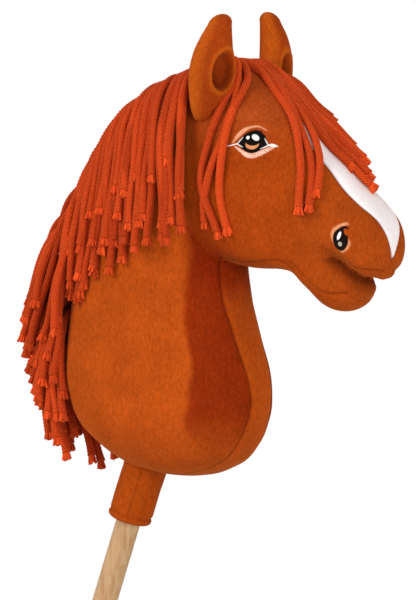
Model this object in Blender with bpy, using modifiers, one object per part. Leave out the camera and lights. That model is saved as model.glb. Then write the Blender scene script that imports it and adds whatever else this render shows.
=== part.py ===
"""Hobby horse: a stuffed plush horse head with a mane of cotton cords, on a wooden stick.

Frame: +X towards the nose, +Y to the horse's left, +Z up, in metres. The origin is the centre
of the stick's lower end. The stick leans back, and the head stands level on it. Everything is
laid out from the neck base, the point of the stick's axis at the top of the cuff, and moved up
to it at the end.
"""
import math

import bmesh
import bpy
import numpy as np
from mathutils import Matrix, Vector
from mathutils.bvhtree import BVHTree

MM = 0.001

# Stick and the sleeve that it pushes into
STICK_DIAMETER = 25.0 * MM
STICK_LENGTH = 800.0 * MM
STICK_LEAN = math.radians(20.0)
STICK_EDGE = 2.0 * MM
STICK_BELOW_CUFF = 570.0 * MM
SLEEVE_CLEARANCE = 0.5 * MM
SLEEVE_WALL = 1.5 * MM
SLEEVE_HEM = 3.0 * MM

# Plush skin, stuffing and the gap that touching pieces keep
GAP = 0.3 * MM
SKIN = 2.0 * MM
WADDING_GAP = 0.8 * MM
NUDGES = 8
NUDGE = 0.01 * MM
JOINED_SHARE = 0.7
SLIVERS = (0.01 * MM, 0.003 * MM, 0.03 * MM, 0.08 * MM, 0.2 * MM)
TOUCH = 0.001 * MM
CUFF_DIAMETER = 44.0 * MM
CUFF_LENGTH = 60.0 * MM
CUFF_ROUND = 4.0 * MM

# Seam lines: half width of the front gusset by height, of the under-jaw gusset by x and of the
# blaze by height, in mm from the neck base
CHEST_SEAM = [(-30.0, 21.0), (30.0, 19.5), (80.0, 19.0), (140.0, 24.5), (215.0, 27.0)]
JAW_SEAM = [(110.0, 27.0), (140.0, 31.0), (180.0, 34.0), (215.0, 24.0), (240.0, 19.0), (300.0, 16.0)]
BLAZE_SEAM = [(206.0, 0.8), (222.0, 6.5), (240.0, 15.0), (262.0, 23.5), (300.0, 23.0), (340.0, 20.0),
              (372.0, 12.0)]
LIP_SEAM = [(236.0, 222.0), (250.0, 212.0), (264.0, 204.0), (280.0, 199.0), (312.0, 196.0)]
SEAM_REACH = 16.0 * MM

# Cords of the mane and the forelock, and the band that they are stitched to
CORD_DIAMETER = 7.5 * MM
BAND_WIDTH = 6.0 * MM
BAND_HEIGHT = 5.0 * MM
BAND_BEND = 0.05 * MM
BAND_REST = GAP + 7 * BAND_BEND
BAND_ASIDE = 4.5 * MM
BAND_STEPS = 9
POCKET = 3.0 * MM

# Ears
EAR_LINING = 2.0 * MM
EAR_HOLLOW = (11.0 * MM, 14.0 * MM, 20.0 * MM)
EAR_HOLLOW_PLACE = (137.0 * MM, 58.5 * MM, 391.0 * MM)
EAR_TURN = math.radians(20)

# Eyes and nostrils
PATCH_THICKNESS = 0.8 * MM
PATCH_INSIDE = 10.0 * MM
EYE_LENGTH = 37.0 * MM
EYE_HEIGHT = 23.0 * MM
EYE_PLACE = (165.0 * MM, 322.0 * MM)
NOSTRIL_LENGTH = 25.0 * MM
NOSTRIL_WIDTH = 15.0 * MM
NOSTRIL_PLACE = (258.0 * MM, 228.0 * MM)

EYE_TILT = math.radians(-4)
NOSTRIL_TILT = math.radians(12)

# Mane: where each lock's stretch of the band starts on the crest, by x (0) or by height (2) in
# mm from the neck base, with the share of the cords' length that it has. The upper locks fall to
# both sides and the lower ones to the back, down to the end of the last one.
LOCKS = [(0, 84.5, 1.0), (0, 56.5, 1.0), (0, 28.5, 1.0), (0, 0.5, 1.0), (0, -27.5, 1.0), (2, 303.0, 1.0),
         (2, 268.0, 1.0), (2, 233.0, 1.0), (2, 198.0, 1.0), (2, 163.0, 0.9), (2, 128.0, 0.76)]
LAST_LOCK_END = (2, 98.0)
# Cords of a lock: place of the root along its stretch, heading in degrees from the back, length
# in mm and layer
LEFT_CORDS = [(0.17, 77, 185, 0), (0.5, 77, 185, 0), (0.83, 77, 185, 0), (0.33, 77, 140, 1)]
RIGHT_CORDS = [(0.17, -77, 185, 0), (0.5, -77, 185, 0), (0.83, -77, 185, 0), (0.67, -77, 140, 1)]
BACK_CORDS = [(0.2, -77, 140, 0), (0.75, -46, 138, 0), (0.3, -17, 146, 0), (0.7, 16, 148, 0),
              (0.25, 47, 158, 0), (0.8, 76, 162, 0)]
CORD_START = 0.25
CORD_STEP = 6.0 * MM
LONGEST_STEP = 1.6 * CORD_STEP
SIDE_THROW = 26.0 * MM
BACK_THROW = 12.0 * MM
CORD_ROOT = 14.0 * MM
CORD_BEND = 1.1 * MM
CORD_REST = CORD_DIAMETER / 2 + GAP + 2 * CORD_BEND
CORD_SPACING = CORD_DIAMETER + GAP + 2 * CORD_BEND
CREST_FOOT = 70.0
CREST_STEPS = 90
POLL_LINE = [(100.0, 401.0), (82.0, 394.0)]

# Forelock: the cords of each lock, and the routes of its first and its last cord in mm
FORELOCK_STEPS = 24
FORELOCK = {
    "forelock_right": (
        3,
        [(117, -13, 406), (140, -29, 394), (143, -48, 368), (138, -60, 345), (126, -63, 316),
         (117, -64, 280), (111, -64, 242)],
        [(131, -24, 399), (153, -38, 384), (156, -54, 360), (150, -62, 338), (143, -64, 312),
         (138, -64, 276), (132, -64, 238)],
    ),
    "forelock_front": (
        3,
        [(132, -5, 408), (146, -15, 397), (176, -30, 361), (198, -43, 320), (210, -52, 284), (214, -56, 250)],
        [(144, -16, 402), (166, -19, 384), (196, -30, 351), (219, -42, 316), (232, -50, 284),
         (234, -53, 262)],
    ),
    "forelock_left": (
        5,
        [(140, 4, 406), (168, 2, 388), (200, -8, 346), (230, 3, 314), (257, 12, 288), (265, 14, 279)],
        [(146, 30, 393), (168, 30, 386), (188, 31, 360), (214, 29, 342), (236, 28, 322), (254, 28, 303)],
    ),
}

# Colours as shown, with the roughness of each finish
PLUSH = ((0.47, 0.105, 0.009), 0.95)
PLUSH_DARK = ((0.30, 0.045, 0.004), 0.95)
WHITE_PLUSH = ((0.86, 0.82, 0.80), 0.95)
CORD = ((0.56, 0.075, 0.014), 0.9)
WOOD = ((0.62, 0.42, 0.24), 0.55)
COTTON = ((0.72, 0.66, 0.56), 0.9)
WADDING = ((0.85, 0.84, 0.80), 1.0)
PAINT = ((0.012, 0.010, 0.010), 0.5)

STICK_AXIS = Vector((math.sin(STICK_LEAN), 0.0, math.cos(STICK_LEAN)))
CUFF_TOP = STICK_BELOW_CUFF + CUFF_LENGTH
NECK_BASE = STICK_AXIS * CUFF_TOP
SLEEVE_INNER = STICK_DIAMETER / 2 + SLEEVE_CLEARANCE
SLEEVE_OUTER = SLEEVE_INNER + SLEEVE_WALL

# Neck: front x, front z, back x, back z, half width in mm from the neck base, squareness.
# The first section closes round the stick, square to its lean.
NECK_STATIONS = [
    (46.5, -11.0, -35.5, 15.0, 31.0, 2.1),
    (82.0, -8.0, -56.0, 31.0, 45.0, 2.2),
    (118.0, 8.0, -75.0, 49.0, 55.0, 2.3),
    (139.0, 38.0, -85.0, 73.0, 60.0, 2.3),
    (145.0, 72.0, -87.5, 102.0, 62.0, 2.3),
    (132.0, 126.0, -83.0, 151.0, 58.5, 2.3),
    (121.0, 165.0, -77.5, 190.0, 54.5, 2.3),
    (118.5, 210.0, -71.5, 232.0, 51.0, 2.3),
    (121.0, 258.0, -60.0, 278.0, 48.0, 2.3),
    (123.0, 303.0, -38.0, 321.0, 44.0, 2.3),
    (117.0, 344.0, -2.0, 359.0, 38.0, 2.3),
    (104.0, 368.0, 34.0, 380.0, 28.0, 2.2),
    (88.0, 379.0, 62.0, 386.0, 13.0, 2.0),
]

# Head and upper muzzle: face x, z, then jowl and underside x, z, half width, squareness.
HEAD_STATIONS = [
    (107.0, 399.0, 81.0, 393.0, 15.0, 2.1),
    (130.0, 395.0, 43.0, 369.0, 35.0, 2.3),
    (156.0, 379.0, 21.0, 329.0, 46.5, 2.4),
    (183.0, 358.0, 28.0, 285.0, 53.0, 2.5),
    (206.0, 335.0, 53.0, 245.0, 56.0, 2.5),
    (226.0, 313.0, 88.0, 214.0, 56.0, 2.5),
    (245.0, 295.0, 130.0, 199.0, 52.0, 2.6),
    (262.0, 277.5, 171.0, 196.0, 46.0, 2.7),
    (278.0, 262.5, 209.0, 203.0, 41.0, 2.8),
    (291.0, 247.0, 240.0, 206.0, 38.0, 2.9),
    (297.0, 230.0, 259.0, 196.0, 35.5, 2.9),
    (297.0, 211.0, 273.0, 188.0, 30.0, 2.7),
    (293.0, 198.0, 282.0, 187.0, 17.0, 2.4),
]

# Lower jaw: mouth side x, z, then underside x, z, half width, squareness.
JAW_STATIONS = [
    (183.0, 222.0, 158.0, 203.0, 22.0, 2.3),
    (206.0, 222.0, 184.0, 187.0, 29.5, 2.4),
    (228.0, 219.0, 206.0, 170.0, 30.5, 2.4),
    (243.0, 210.0, 223.0, 158.5, 29.0, 2.4),
    (256.0, 200.0, 240.0, 154.5, 26.0, 2.4),
    (265.0, 192.0, 255.0, 158.0, 22.0, 2.3),
    (270.0, 184.0, 264.0, 168.0, 14.0, 2.2),
]

# Ear: height, forward and outward place of the centre from the neck base in mm, then its
# half depth and half width. The front of each ear is turned outward.
EAR_STATIONS = [
    (345.0, 106.0, 44.0, 7.0, 9.0),
    (354.0, 111.0, 48.0, 11.0, 16.5),
    (366.0, 116.0, 52.0, 14.5, 22.0),
    (382.0, 120.0, 54.5, 15.7, 24.8),
    (396.0, 121.5, 54.8, 15.8, 24.6),
    (411.0, 122.0, 54.3, 15.7, 20.1),
    (425.0, 122.5, 50.2, 13.7, 15.6),
    (438.0, 122.5, 44.2, 10.3, 11.2),
    (444.0, 122.5, 42.4, 7.5, 8.0),
]

# Underside of the jaw, from the throat to the chin, above which the under-jaw gusset ends
JAW_FLOOR = [(90.0, 226.0), (130.0, 212.0), (170.0, 206.0), (205.0, 186.0), (235.0, 168.0),
             (258.0, 167.0), (300.0, 184.0)]
JAW_DROP = 0.12

# First neck section: it closes round the sleeve, square to the stick
RING = CUFF_DIAMETER / 2
NECK_RING = (RING * math.cos(STICK_LEAN), -RING * math.sin(STICK_LEAN),
             -RING * math.cos(STICK_LEAN), RING * math.sin(STICK_LEAN), RING, 2.0)
NECK_REACH = 0.25
END_DOME = 5.0 * MM
DOME_STEPS = (math.radians(35), math.radians(65))
HALF_PLANE = [(GAP / 2, -0.1), (0.1, -0.1), (0.1, 0.45), (GAP / 2, 0.45)]

PARTS = "hobby_horse"
CUTTERS = "hobby_horse_cutters"


def clear_scene():
    for item in list(bpy.data.objects):
        bpy.data.objects.remove(item)
    for name in (PARTS, CUTTERS):
        bpy.context.scene.collection.children.link(bpy.data.collections.new(name))


def material(name, colour, roughness):
    made = bpy.data.materials.new(name)
    made.use_nodes = True
    shader = made.node_tree.nodes["Principled BSDF"]
    shader.inputs["Base Color"].default_value = (*colour, 1.0)
    shader.inputs["Roughness"].default_value = roughness
    shader.inputs["Metallic"].default_value = 0.0
    return made


def add_object(name, mesh, collection):
    item = bpy.data.objects.new(name, mesh)
    bpy.data.collections[collection].objects.link(item)
    return item


def finished(name, mesh, finish):
    mesh.materials.clear()
    mesh.materials.append(material(name, *finish))
    return add_object(name, mesh, PARTS)


def node(name, mesh, finish):
    """One sub-part: its mesh, moved up to the neck base, with its own material."""
    mesh = welded(mesh, in_triangles=True)
    mesh.transform(Matrix.Translation(NECK_BASE))
    return finished(name, mesh, finish)


def pair(name, mesh, finish):
    """A sub-part on the left side of the head and the same one on the right side."""
    left = node(name + "_left", mesh, finish)
    finished(name + "_right", mirrored(left.data), finish)


def cutter(mesh, name="cutter"):
    item = add_object(name, mesh, CUTTERS)
    item.hide_render = True
    item.display_type = "WIRE"
    return item


def combined(mesh, operation, others):
    """The mesh after a Boolean with each of the other meshes in turn. The others are nudged a
    little until the result comes out whole."""
    for attempt in range(NUDGES):
        body = cutter(mesh.copy(), "work")
        tools = [cutter(other.copy()) for other in others]
        for k, tool in enumerate(tools):
            way = Vector((k % 2 + 1, k % 3 - 1, 1 - k % 2))
            tool.data.transform(Matrix.Translation(way * attempt * NUDGE))
            step = body.modifiers.new("boolean", "BOOLEAN")
            step.operation = operation
            step.object = tool
            step.solver = "EXACT"
        graph = bpy.context.evaluated_depsgraph_get()
        result = welded(bpy.data.meshes.new_from_object(body.evaluated_get(graph)))
        for item in [body, *tools]:
            bpy.data.objects.remove(item)
        if closed_volume(result) > 0:
            break
    return result


def welded(mesh, in_triangles=False):
    """The mesh without the slivers that a cut leaves where it runs along an edge."""
    for reach in SLIVERS:
        shape = bmesh.new()
        shape.from_mesh(mesh)
        bmesh.ops.remove_doubles(shape, verts=shape.verts, dist=reach)
        bmesh.ops.dissolve_degenerate(shape, edges=shape.edges, dist=reach)
        if in_triangles:
            bmesh.ops.triangulate(shape, faces=shape.faces)
        whole = all(len(edge.link_faces) == 2 for edge in shape.edges)
        if whole:
            shape.to_mesh(mesh)
        shape.free()
        if whole:
            break
    return mesh


def minus(mesh, *others):
    return combined(mesh, "DIFFERENCE", others)


def union(mesh, *others):
    return combined(mesh, "UNION", others)


def common(mesh, *others):
    return combined(mesh, "INTERSECT", others)


def closed_volume(mesh):
    """The volume that the mesh holds, or none where it is open or touches itself."""
    shape = bmesh.new()
    shape.from_mesh(mesh)
    bmesh.ops.remove_doubles(shape, verts=shape.verts, dist=TOUCH)
    bmesh.ops.triangulate(shape, faces=shape.faces)
    volume = shape.calc_volume() if all(len(edge.link_faces) == 2 for edge in shape.edges) else 0.0
    shape.free()
    return volume


def surfaces(shape):
    """The groups of vertices that hang together along the edges."""
    left, groups = set(shape.verts), []
    while left:
        ahead = [left.pop()]
        group = list(ahead)
        while ahead:
            for edge in ahead.pop().link_edges:
                fresh = [vertex for vertex in edge.verts if vertex in left]
                left.difference_update(fresh)
                ahead += fresh
                group += fresh
        groups.append(group)
    return groups


def without_pockets(mesh):
    """The mesh without the tiny hollows that crossing cords enclose where they are stitched."""
    shape = bmesh.new()
    shape.from_mesh(mesh)
    for group in surfaces(shape):
        places = np.array([tuple(vertex.co) for vertex in group])
        if np.ptp(places, axis=0).max() < POCKET:
            bmesh.ops.delete(shape, geom=group, context="VERTS")
    shape.to_mesh(mesh)
    shape.free()
    return mesh


def joined(pieces):
    """One body of overlapping pieces. They are nudged a little until none is lost in the joint."""
    least = JOINED_SHARE * sum(closed_volume(piece) for piece in pieces)
    for _ in range(NUDGES):
        body = without_pockets(union(*pieces))
        if closed_volume(body) > least:
            break
        for k, piece in enumerate(pieces[1:]):
            piece.transform(Matrix.Translation(Vector((0, k % 3 - 1, k % 2)) * 3 * NUDGE))
    return body


def outward(mesh):
    """The same closed mesh with all its faces turned outwards."""
    shape = bmesh.new()
    shape.from_mesh(mesh)
    bmesh.ops.recalc_face_normals(shape, faces=shape.faces)
    shape.to_mesh(mesh)
    shape.free()
    return mesh


def grown(mesh, distance):
    """A copy whose surface is moved outwards by the distance, or inwards where it is negative."""
    shape = bmesh.new()
    shape.from_mesh(mesh)
    shape.normal_update()
    moves = [vertex.normal * distance * vertex.calc_shell_factor() for vertex in shape.verts]
    for vertex, move in zip(shape.verts, moves):
        vertex.co += move
    made = bpy.data.meshes.new(mesh.name)
    shape.to_mesh(made)
    shape.free()
    return made


def mirrored(mesh):
    """The same piece for the other side of the head: y changes sign and the faces turn over."""
    made = mesh.copy()
    made.transform(Matrix.Diagonal((1.0, -1.0, 1.0, 1.0)))
    made.flip_normals()
    return made


def spline(points, count):
    """A smooth cubic through the rows of points, read at an even count of steps."""
    rows = np.asarray(points, float)
    ends = np.vstack([2 * rows[0] - rows[1], rows, 2 * rows[-1] - rows[-2]])
    place = np.linspace(0, len(rows) - 1, count)
    left = np.minimum(place.astype(int), len(rows) - 2)
    share = (place - left)[:, None]
    a, b, c, d = (ends[left + k] for k in range(4))
    return b + 0.5 * share * (c - a + share * (2 * a - 5 * b + 4 * c - d + share * (3 * (b - c) + d - a)))


def grid_mesh(name, grid):
    """A closed body from rings of points: quads between the rings and a flat face on each end."""
    rings, around = grid.shape[:2]
    index = np.arange(rings * around).reshape(rings, around)
    low, high = index[:-1], index[1:]
    quads = np.stack([low, np.roll(low, -1, 1), np.roll(high, -1, 1), high], -1).reshape(-1, 4)
    faces = [tuple(q) for q in quads.tolist()] + [tuple(index[0][::-1].tolist()), tuple(index[-1].tolist())]
    made = bpy.data.meshes.new(name)
    made.from_pydata(grid.reshape(-1, 3).tolist(), [], faces)
    return outward(made)


def section_rings(front, back, half_width, squareness, around):
    """Superellipse sections between a front and a back rail of the middle plane."""
    turn = 2 * math.pi * np.arange(around) / around
    power = 2.0 / squareness[:, None]
    depth = np.sign(np.cos(turn)) * np.abs(np.cos(turn)) ** power
    side = np.sign(np.sin(turn)) * np.abs(np.sin(turn)) ** power
    middle, reach = (front + back) / 2, (front - back) / 2
    grid = np.empty((len(front), around, 3))
    grid[..., 0] = middle[:, None, 0] + reach[:, None, 0] * depth
    grid[..., 2] = middle[:, None, 1] + reach[:, None, 1] * depth
    grid[..., 1] = half_width[:, None] * side
    return grid


def dome(grid, height):
    """Rings that close the last ring of a grid with a low dome."""
    centre = grid[-1].mean(0)
    out = centre - grid[-2].mean(0)
    out /= np.linalg.norm(out)
    rings = [centre + (grid[-1] - centre) * math.cos(a) + out * height * math.sin(a) for a in DOME_STEPS]
    return np.concatenate([grid, np.array(rings)])


def loft(name, stations, rings, around, first_row=None):
    """A stuffed form: sections whose rails, width and squareness run smoothly along the stations."""
    table = [(*(np.array(row[:5]) * MM), row[5]) for row in stations]
    if first_row is not None:
        table = [first_row, *table]
    rows = spline(table, rings)
    grid = section_rings(rows[:, 0:2], rows[:, 2:4], rows[:, 4], rows[:, 5], around)
    grid = dome(grid, END_DOME)
    if first_row is None:
        grid = dome(grid[::-1], END_DOME)
    return grid_mesh(name, grid)


def rod(radius, start, end, sides=32):
    """A round rod along the stick's axis, between two distances from the stick's lower end."""
    shape = bmesh.new()
    bmesh.ops.create_cone(shape, cap_ends=True, segments=sides, radius1=radius, radius2=radius,
                          depth=end - start)
    made = bpy.data.meshes.new("rod")
    shape.to_mesh(made)
    shape.free()
    tilt = Vector((0, 0, 1)).rotation_difference(STICK_AXIS).to_matrix().to_4x4()
    made.transform(Matrix.Translation(STICK_AXIS * ((start + end) / 2 - CUFF_TOP)) @ tilt)
    return made


def turned(name, profile, sides=32):
    """A body turned about the stick's axis from a closed profile of (radius, distance up the stick)."""
    turn = 2 * math.pi * np.arange(sides) / sides
    across = Vector((math.cos(STICK_LEAN), 0.0, -math.sin(STICK_LEAN)))
    rings = [[across * (r * math.cos(a)) + Vector((0, r * math.sin(a), 0)) + STICK_AXIS * (s - CUFF_TOP)
              for r, s in profile] for a in turn]
    grid = np.array([[tuple(p) for p in ring] for ring in rings])
    index = np.arange(sides * len(profile)).reshape(sides, len(profile))
    nxt = np.roll(index, -1, 0)
    quads = np.stack([index, np.roll(index, -1, 1), np.roll(nxt, -1, 1), nxt], -1).reshape(-1, 4)
    made = bpy.data.meshes.new(name)
    made.from_pydata(grid.reshape(-1, 3).tolist(), [], [tuple(q) for q in quads.tolist()])
    return outward(made)


def prism(outline, axis, low, high):
    """A closed body: a flat outline drawn across one axis and extruded along it."""
    across = [k for k in range(3) if k != axis]
    count = len(outline)
    points = np.zeros((2 * count, 3))
    points[:, across] = np.vstack([outline, outline])
    points[:, axis] = np.repeat([low, high], count)
    sides = [(k, (k + 1) % count, (k + 1) % count + count, k + count) for k in range(count)]
    faces = [tuple(range(count)), tuple(range(count, 2 * count))] + sides
    made = bpy.data.meshes.new("prism")
    made.from_pydata(points.tolist(), [], faces)
    return outward(made)


def both_sides(seam, steps, margin=0.0):
    """The outline of a strip that is symmetric about the middle plane, from its half width."""
    line = spline(np.array(seam) * MM, steps)
    line[0, 0] -= margin
    line[-1, 0] += margin
    left = np.stack([line[:, 1] + margin, line[:, 0]], 1)
    right = np.stack([-line[:, 1] - margin, line[:, 0]], 1)
    return np.vstack([left, right[::-1]])


def rail_band(stations, column, inside, outside, steps):
    """The side outline of a layer that follows one rail: from inside it to outside it."""
    table = np.array(stations)[:, :4] * MM
    rail = spline(table[:, column:column + 2], steps)
    run = np.gradient(rail, axis=0)
    run /= np.linalg.norm(run, axis=1)[:, None]
    square = np.stack([-run[:, 1], run[:, 0]], 1)
    other = spline(table[:, 2 - column:4 - column], steps)
    square *= np.sign(((rail - other) * square).sum(1))[:, None]
    return np.vstack([rail - square * inside, (rail + square * outside)[::-1]])


def make_stick():
    stick = node("stick", rod(STICK_DIAMETER / 2, 0, STICK_LENGTH), WOOD)
    edge = stick.modifiers.new("rounded ends", "BEVEL")
    edge.width = STICK_EDGE
    edge.segments = 2
    edge.limit_method = "ANGLE"
    edge.angle_limit = math.radians(60)


def make_sleeve_and_cuff(neck):
    """The cotton sleeve closed over the stick's end, and the plush cuff round its lower end."""
    closed_end = STICK_LENGTH + GAP
    sleeve = rod(SLEEVE_OUTER, STICK_BELOW_CUFF + SLEEVE_HEM, closed_end + SLEEVE_WALL)
    node("stick_sleeve", minus(sleeve, rod(SLEEVE_INNER, STICK_BELOW_CUFF, closed_end)), COTTON)
    inner, outer = SLEEVE_OUTER + GAP, CUFF_DIAMETER / 2
    hem = [(outer + CUFF_ROUND * (math.cos(a) - 1), STICK_BELOW_CUFF + CUFF_ROUND * (math.sin(a) + 1))
           for a in (math.radians(degrees) for degrees in (-90, -60, -30, 0))]
    profile = [(inner, CUFF_TOP - GAP), (inner, STICK_BELOW_CUFF)] + hem + [(outer, CUFF_TOP - GAP)]
    node("cuff", minus(turned("cuff", profile), grown(neck, GAP)), PLUSH)


def chest_region(margin=0.0):
    return prism(both_sides(CHEST_SEAM, 9, margin), 0, CUFF_DIAMETER / 4 - margin, NECK_REACH)


def make_neck(neck, head):
    """Wadding with a bore for the sleeve, inside a skin of two side panels and a front gusset."""
    bore = rod(SLEEVE_OUTER + GAP, 0, STICK_LENGTH + SLEEVE_WALL + 2 * GAP)
    node("neck_stuffing", minus(grown(neck, -SKIN - WADDING_GAP), bore), WADDING)
    skin = minus(neck, grown(neck, -SKIN), grown(head, GAP), bore)
    node("chest_gusset", common(skin, chest_region()), PLUSH)
    left = common(minus(skin, chest_region(GAP)), prism(HALF_PLANE, 0, -NECK_REACH, NECK_REACH))
    pair("neck_panel", left, PLUSH)


def blaze_region(margin=0.0):
    """The front of the face between the blaze's seams, pointed at the nose."""
    face = rail_band(HEAD_STATIONS, 0, SEAM_REACH + margin, SEAM_REACH, 14)
    strip = prism(both_sides(BLAZE_SEAM, 13, margin), 0, 0.0, 2 * NECK_REACH)
    return common(strip, prism(face, 1, -NECK_REACH, NECK_REACH))


def lip_region(jaw, margin=0.0):
    """The underside of the upper muzzle, from the seam above the lip down to the lower jaw."""
    line = spline(np.array(LIP_SEAM) * MM, 6)
    above = line + np.array([0.0, margin])
    above[0, 0] -= margin
    below = line[::-1] - np.array([margin, 2 * SEAM_REACH])
    return minus(prism(np.vstack([above, below]), 1, -NECK_REACH, NECK_REACH), grown(jaw, GAP - margin))


def jaw_region(margin=0.0):
    """The underside of the cheeks and of the lower jaw, between the under-jaw seams."""
    strip = prism(both_sides(JAW_SEAM, 11, margin)[:, ::-1], 2, 0.0, 2 * NECK_REACH)
    floor = spline(np.array(JAW_FLOOR) * MM, 14) + np.array([0.0, margin])
    side = np.vstack([floor, floor[::-1] * np.array([1.0, 0.0]) + np.array([0.0, JAW_DROP])])
    return common(strip, prism(side, 1, -NECK_REACH, NECK_REACH))


def make_head(neck, head, head_loft, jaw_loft):
    """Wadding inside a skin of two side panels, a blaze, an under-jaw gusset and a lip gusset."""
    deep = -SKIN - WADDING_GAP
    wadding = union(grown(head_loft, deep), grown(jaw_loft, deep))
    node("head_stuffing", minus(wadding, grown(neck, -SKIN)), WADDING)
    inner = union(grown(head_loft, -SKIN), grown(jaw_loft, -SKIN))
    skin = minus(head, inner, grown(neck, GAP))
    node("blaze_panel", common(skin, blaze_region()), WHITE_PLUSH)
    node("lip_gusset", common(skin, lip_region(jaw_loft)), PLUSH)
    lower = minus(skin, lip_region(jaw_loft, GAP))
    node("jaw_gusset", common(lower, jaw_region()), PLUSH)
    sides = minus(lower, blaze_region(GAP), jaw_region(GAP))
    left = common(sides, prism(HALF_PLANE, 0, -NECK_REACH, 2 * NECK_REACH))
    pair("head_panel", left, PLUSH)


def ellipsoid(centre, radii, turn):
    """A ball stretched along the axes, turned about the upright one and placed from the neck base."""
    shape = bmesh.new()
    bmesh.ops.create_uvsphere(shape, u_segments=12, v_segments=7, radius=1.0)
    made = bpy.data.meshes.new("ellipsoid")
    shape.to_mesh(made)
    shape.free()
    turned_ball = Matrix.Rotation(turn, 4, "Z") @ Matrix.Diagonal((*radii, 1.0))
    made.transform(Matrix.Translation(centre) @ turned_ball)
    return made


def make_ears(head):
    """A padded ear on each side of the poll, with a darker lining in the hollow at its front."""
    rows = spline(np.array(EAR_STATIONS) * MM, 9)
    turn = 2 * math.pi * np.arange(12) / 12
    ahead, aside = rows[:, None, 3] * np.cos(turn), rows[:, None, 4] * np.sin(turn)
    grid = np.empty((len(rows), len(turn), 3))
    grid[..., 0] = rows[:, None, 1] + ahead * math.cos(EAR_TURN) - aside * math.sin(EAR_TURN)
    grid[..., 1] = rows[:, None, 2] + ahead * math.sin(EAR_TURN) + aside * math.cos(EAR_TURN)
    grid[..., 2] = rows[:, None, 0]
    whole = grid_mesh("ear", dome(grid, END_DOME))
    whole = minus(whole, grown(head, GAP))
    hollow = [ellipsoid(EAR_HOLLOW_PLACE, [r + extra for r in EAR_HOLLOW], EAR_TURN)
              for extra in (0.0, EAR_LINING, EAR_LINING + GAP)]
    lining = minus(common(whole, hollow[1]), hollow[0])
    ear = minus(whole, hollow[2])
    pair("ear", ear, PLUSH)
    pair("ear_lining", lining, PLUSH_DARK)


def almond(length, height, tilt, steps=9):
    """A pointed oval: two sine arcs between the corners, turned by the tilt."""
    share = np.arange(steps) / steps
    x = np.concatenate([share, 1 - share]) * length - length / 2
    z = np.concatenate([np.sin(math.pi * share) * 0.52, -np.sin(math.pi * share) * 0.48]) * height
    return np.stack([x * math.cos(tilt) - z * math.sin(tilt), x * math.sin(tilt) + z * math.cos(tilt)], 1)


def drop(length, width, tilt, steps=14):
    """A drop that is full below and pointed above, turned by the tilt."""
    angle = 2 * math.pi * np.arange(steps) / steps
    z = length / 2 * np.cos(angle)
    x = width / 2 * np.sin(angle) * (1 - 0.45 * np.cos(angle))
    return np.stack([x * math.cos(tilt) - z * math.sin(tilt), x * math.sin(tilt) + z * math.cos(tilt)], 1)


def make_face(head_loft):
    """Eyes and nostrils: thin embroidered patches that follow the cheeks and the muzzle."""
    layer = minus(grown(head_loft, GAP + PATCH_THICKNESS), grown(head_loft, GAP))
    eye = almond(EYE_LENGTH, EYE_HEIGHT, EYE_TILT)
    nostril = drop(NOSTRIL_LENGTH, NOSTRIL_WIDTH, NOSTRIL_TILT)
    for name, outline, place in (("eye", eye, EYE_PLACE), ("nostril", nostril, NOSTRIL_PLACE)):
        patch = common(layer, prism(outline + np.array(place), 1, PATCH_INSIDE, NECK_REACH))
        pair(name, patch, PAINT)


def lifted(point, surface, clearance):
    """The point, moved straight out of the plush until it keeps the clearance."""
    for _ in range(3):
        place, normal, _, _ = surface.find_nearest(point)
        away = point - place
        inside = away.dot(normal) < 0
        if not inside and away.length >= clearance:
            break
        way = normal if inside or away.length < GAP else away.normalized()
        point = place + way * clearance
    return point


def seated(point, surface):
    """The place over the plush where a cord's root lies against it."""
    place, normal = surface.find_nearest(point)[:2]
    return place + normal * CORD_REST


def draped(root, heading, length, layer, throw, surface, laid):
    """A cord's route in short steps: it leaves its root along the heading, bends down under its
    own weight, and rests on the plush, on its lock's layer below or on the cords laid already."""
    points, way = [root], Vector(heading).normalized()
    for k in range(int(length / CORD_STEP)):
        way = (way + Vector((0, 0, -CORD_STEP / throw))).normalized()
        rest = CORD_REST + layer * CORD_SPACING * min(1.0, k * CORD_STEP / throw)
        ahead = lifted(points[-1] + way * CORD_STEP, surface, rest)
        if (k + 1) * CORD_STEP > CORD_ROOT and len(laid):
            for _ in range(4):
                out = surface.find_nearest(ahead)[1]
                short = CORD_SPACING - np.linalg.norm(laid - np.array(ahead), axis=1).min()
                if short <= 0:
                    break
                ahead = ahead + out * short
        run = ahead - points[-1]
        way = run.normalized()
        points.append(points[-1] + way * CORD_STEP if run.length > LONGEST_STEP else ahead)
    return points


def along(line, share):
    """The point at a share of a line of even steps."""
    place = share * (len(line) - 1)
    step = min(int(place), len(line) - 2)
    return line[step].lerp(line[step + 1], place - step)


def thinned(points, limit):
    """The fewest of the points whose straight stretches stay within the limit of the route."""
    start, end = points[0], points[-1]
    run = (end - start).normalized()
    off = [((p - start) - run * (p - start).dot(run)).length for p in points]
    worst = max(range(len(points)), key=off.__getitem__)
    if off[worst] <= limit:
        return [start, end]
    return thinned(points[:worst + 1], limit)[:-1] + thinned(points[worst:], limit)


def tube(points, radius, sides=5):
    """A closed round tube through the points."""
    line = np.array([tuple(p) for p in points])
    run = np.gradient(line, axis=0)
    run /= np.linalg.norm(run, axis=1)[:, None]
    turn = 2 * math.pi * np.arange(sides) / sides
    across, rings = np.cross(run[0], np.roll(run[0], 1) + 0.1), []
    for place, way in zip(line, run):
        across = across - way * (across @ way)
        across /= np.linalg.norm(across)
        other = np.cross(way, across)
        rings.append(place + radius * (np.outer(np.cos(turn), across) + np.outer(np.sin(turn), other)))
    return grid_mesh("tube", np.array(rings))


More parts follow.
